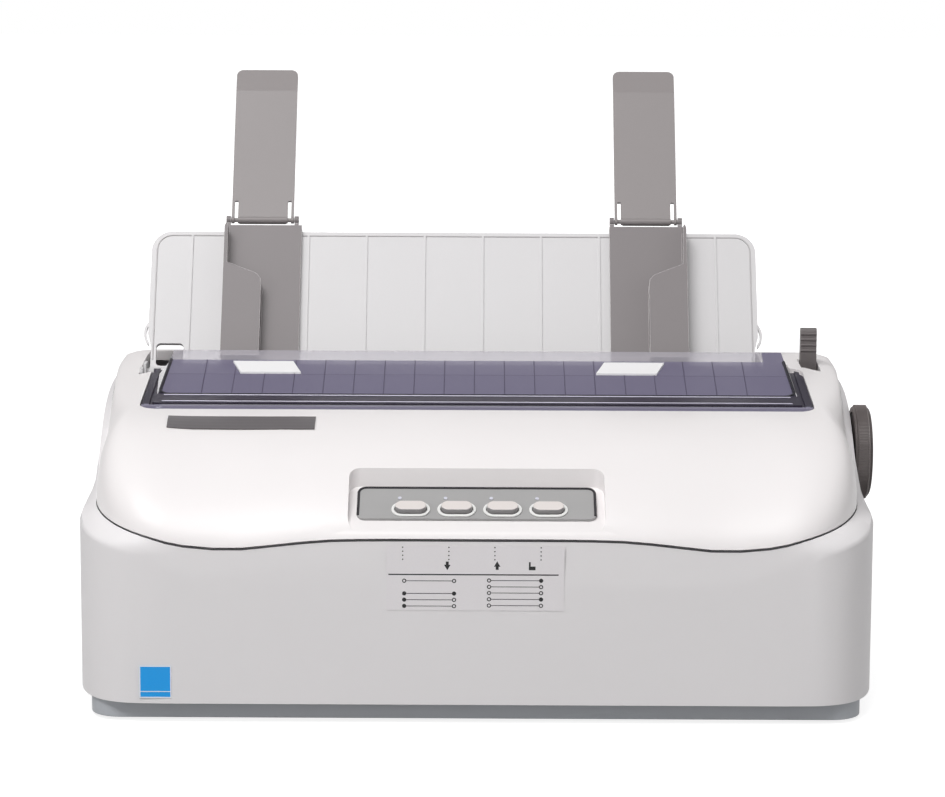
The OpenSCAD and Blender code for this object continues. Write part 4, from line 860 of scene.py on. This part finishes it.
def printLegend():
    k = legend
    labelSheet("legend_label", "legendSheet", "legendFilm", k["film"])
    sheet = startPrint("legendPrint")
    for x in k["leaders"]:
        for i in range(k["leaderDots"]):
            inkDot(x, k["leaderTop"] - i * k["leaderStep"], k["leaderDot"], k["face"])
    for x, z, way in k["arrows"]:
        inkArrow(x, z, way, k)
    for bar in k["bars"]:
        inkBar(*bar, k["face"])
    for x0, x1, z, filled0, filled1 in k["rows"]:
        for x, filled in ((x0, filled0), (x1, filled1)):
            inkDot(x, z, k["ring"], k["face"], 0 if filled else k["ringWall"])
        inkBar(x0 + k["ring"] / 2, x1 - k["ring"] / 2, z - k["rule"] / 2, z + k["rule"] / 2, k["face"])
    finishPrint(sheet, k["ink"], "legendInk", "legend_label")


printLegend()
sticker = {"x0": -173, "x1": -156.5, "z0": 14, "z1": 31, "film": 0.12, "face": -0.17, "ink": 0.035,
           "border": 0.55, "line": (3.2, 3.6)}


def printSticker():
    k = sticker
    labelSheet("rating_label", "stickerSheet", "stickerBlue", k["film"])
    sheet = startPrint("stickerPrint")
    x0, x1, z0, z1, b = (k[name] for name in ("x0", "x1", "z0", "z1", "border"))
    for bar in ((x0, x1, z1 - b, z1), (x0, x1, z0, z0 + b),
                (x0, x0 + b, z0 + b, z1 - b), (x1 - b, x1, z0 + b, z1 - b),
                (x0 + b, x1 - b, z0 + k["line"][0], z0 + k["line"][1])):
        inkBar(*bar, k["face"])
    finishPrint(sheet, k["ink"], "stickerWhite", "rating_label")


printSticker()

# nodes whose own surface stays, by finish
plainNodes = {
    "footRubber": ("rubber_feet",),
    "lampPlastic": ("indicator_lights",),
    "badgeFoil": ("badge_plate",),
    "tabPlastic": ("lid_tabs",),
    "groundSteel": ("hinge_pins", "platen_shaft", "carriage_rod", "lever_pin", "tractor_shaft", "tractor_rod"),
    "zincSheet": ("chassis_pan", "carriage_rail"),
    "framePaint": ("left_side_frame", "right_side_frame"),
    "platenRubber": ("platen_roller", "pinch_rollers", "drive_belt"),
    "gearPlastic": ("platen_gear", "idler_gear", "tractor_idler"),
    "turnedBrass": ("feed_pinion", "drive_pulley", "idler_pulley"),
    "motorPaint": ("feed_motor", "paper_trough", "print_head", "carriage_motor", "power_supply"),
    "rampPlastic": ("paper_ramp", "tear_bar"),
    "blackPlastic": ("carriage", "ribbon_cartridge", "ribbon_knob", "left_tractor", "right_tractor",
                     "left_tractor_door", "right_tractor_door", "rear_sockets", "power_switch"),
    "leverPlastic": ("gap_lever",),
    "circuitBoard": ("main_board",),
}
for finish, nodes in plainNodes.items():
    for node in nodes:
        for slot in frame["nodes"][node].material_slots:
            slot.material = finishes[finish]

print("floor and lights")
studio = {"floor": 12, "grey": 0.35, "near": 0.83, "spread": 1.4e6, "ambient": 0.34}


def floorPaper():
    # grey paper that the camera sees as nearly white, and as white away from the object
    k = studio
    f = Finish("floorPaper")
    path = f.tree.nodes.new("ShaderNodeLightPath")
    seen = (Wire(f, path.outputs["Is Camera Ray"]) + Wire(f, path.outputs["Is Glossy Ray"])).capped()
    x, y, z = f.axes()
    away = ((x * x + y * y) / k["spread"]).capped()
    near = (k["near"],) * 3 + (1,)
    f.set(Base_Color=(k["grey"],) * 3 + (1,), Roughness=1.0, Emission_Strength=1.0,
          Emission_Color=f.mix(seen, (0, 0, 0, 1), f.mix(away, near, (1, 1, 1, 1))))
    return f.material


def studioSky():
    # white to the camera and through clear pieces, dimmer as a light
    world = bpy.data.worlds.new("studio")
    bpy.context.scene.world = world
    world.use_nodes = True
    sky = world.node_tree
    dim = sky.nodes["Background"]
    white = sky.nodes.new("ShaderNodeBackground")
    for source, strength in ((dim, studio["ambient"]), (white, 1.0)):
        source.inputs[0].default_value = (1, 1, 1, 1)
        source.inputs[1].default_value = strength
    path = sky.nodes.new("ShaderNodeLightPath")
    seen = sky.nodes.new("ShaderNodeMath")
    seen.operation = "MAXIMUM"
    blend = sky.nodes.new("ShaderNodeMixShader")
    for source, target in ((path.outputs["Is Camera Ray"], seen.inputs[0]),
                           (path.outputs["Is Transmission Ray"], seen.inputs[1]),
                           (seen.outputs[0], blend.inputs[0]), (dim.outputs[0], blend.inputs[1]),
                           (white.outputs[0], blend.inputs[2]),
                           (blend.outputs[0], sky.nodes["World Output"].inputs[0])):
        sky.links.new(source, target)


deselect()
bpy.ops.mesh.primitive_plane_add(size=studio["floor"], location=(0, 0, 0))
floor = bpy.context.object
floor.name = "floor"
floor.data.materials.append(floorPaper())
studioSky()


def softLamp(name, at, aim, size, power):
    data = bpy.data.lights.new(name, "AREA")
    data.shape = "RECTANGLE"
    data.size, data.size_y = size
    data.energy = power
    lamp = bpy.data.objects.new(name, data)
    bpy.context.collection.objects.link(lamp)
    lamp.location = at
    lamp.rotation_euler = (Vector(aim) - Vector(at)).to_track_quat("-Z", "Y").to_euler()
    lamp.visible_glossy = name == "key"   # the fills light the faces and leave no glare


# place, aim, size and power
lamps = {
    "key": ((-0.6, -1.3, 2.35), (0, 0, 0.12), (1.6, 0.8), 47.5),
    "leftFill": ((-1.4, -1.4, 0.7), (-0.1, 0, 0.08), (0.8, 0.8), 3.6),
    "rightFill": ((2.3, -1.2, 1.0), (0, 0, 0.12), (1.2, 1.2), 5),
    "rearFill": ((0.3, 2.8, 1.1), (0, 0, 0.12), (1.6, 1.0), 22),
}
for name, (at, aim, size, power) in lamps.items():
    softLamp(name, at, aim, size, power)
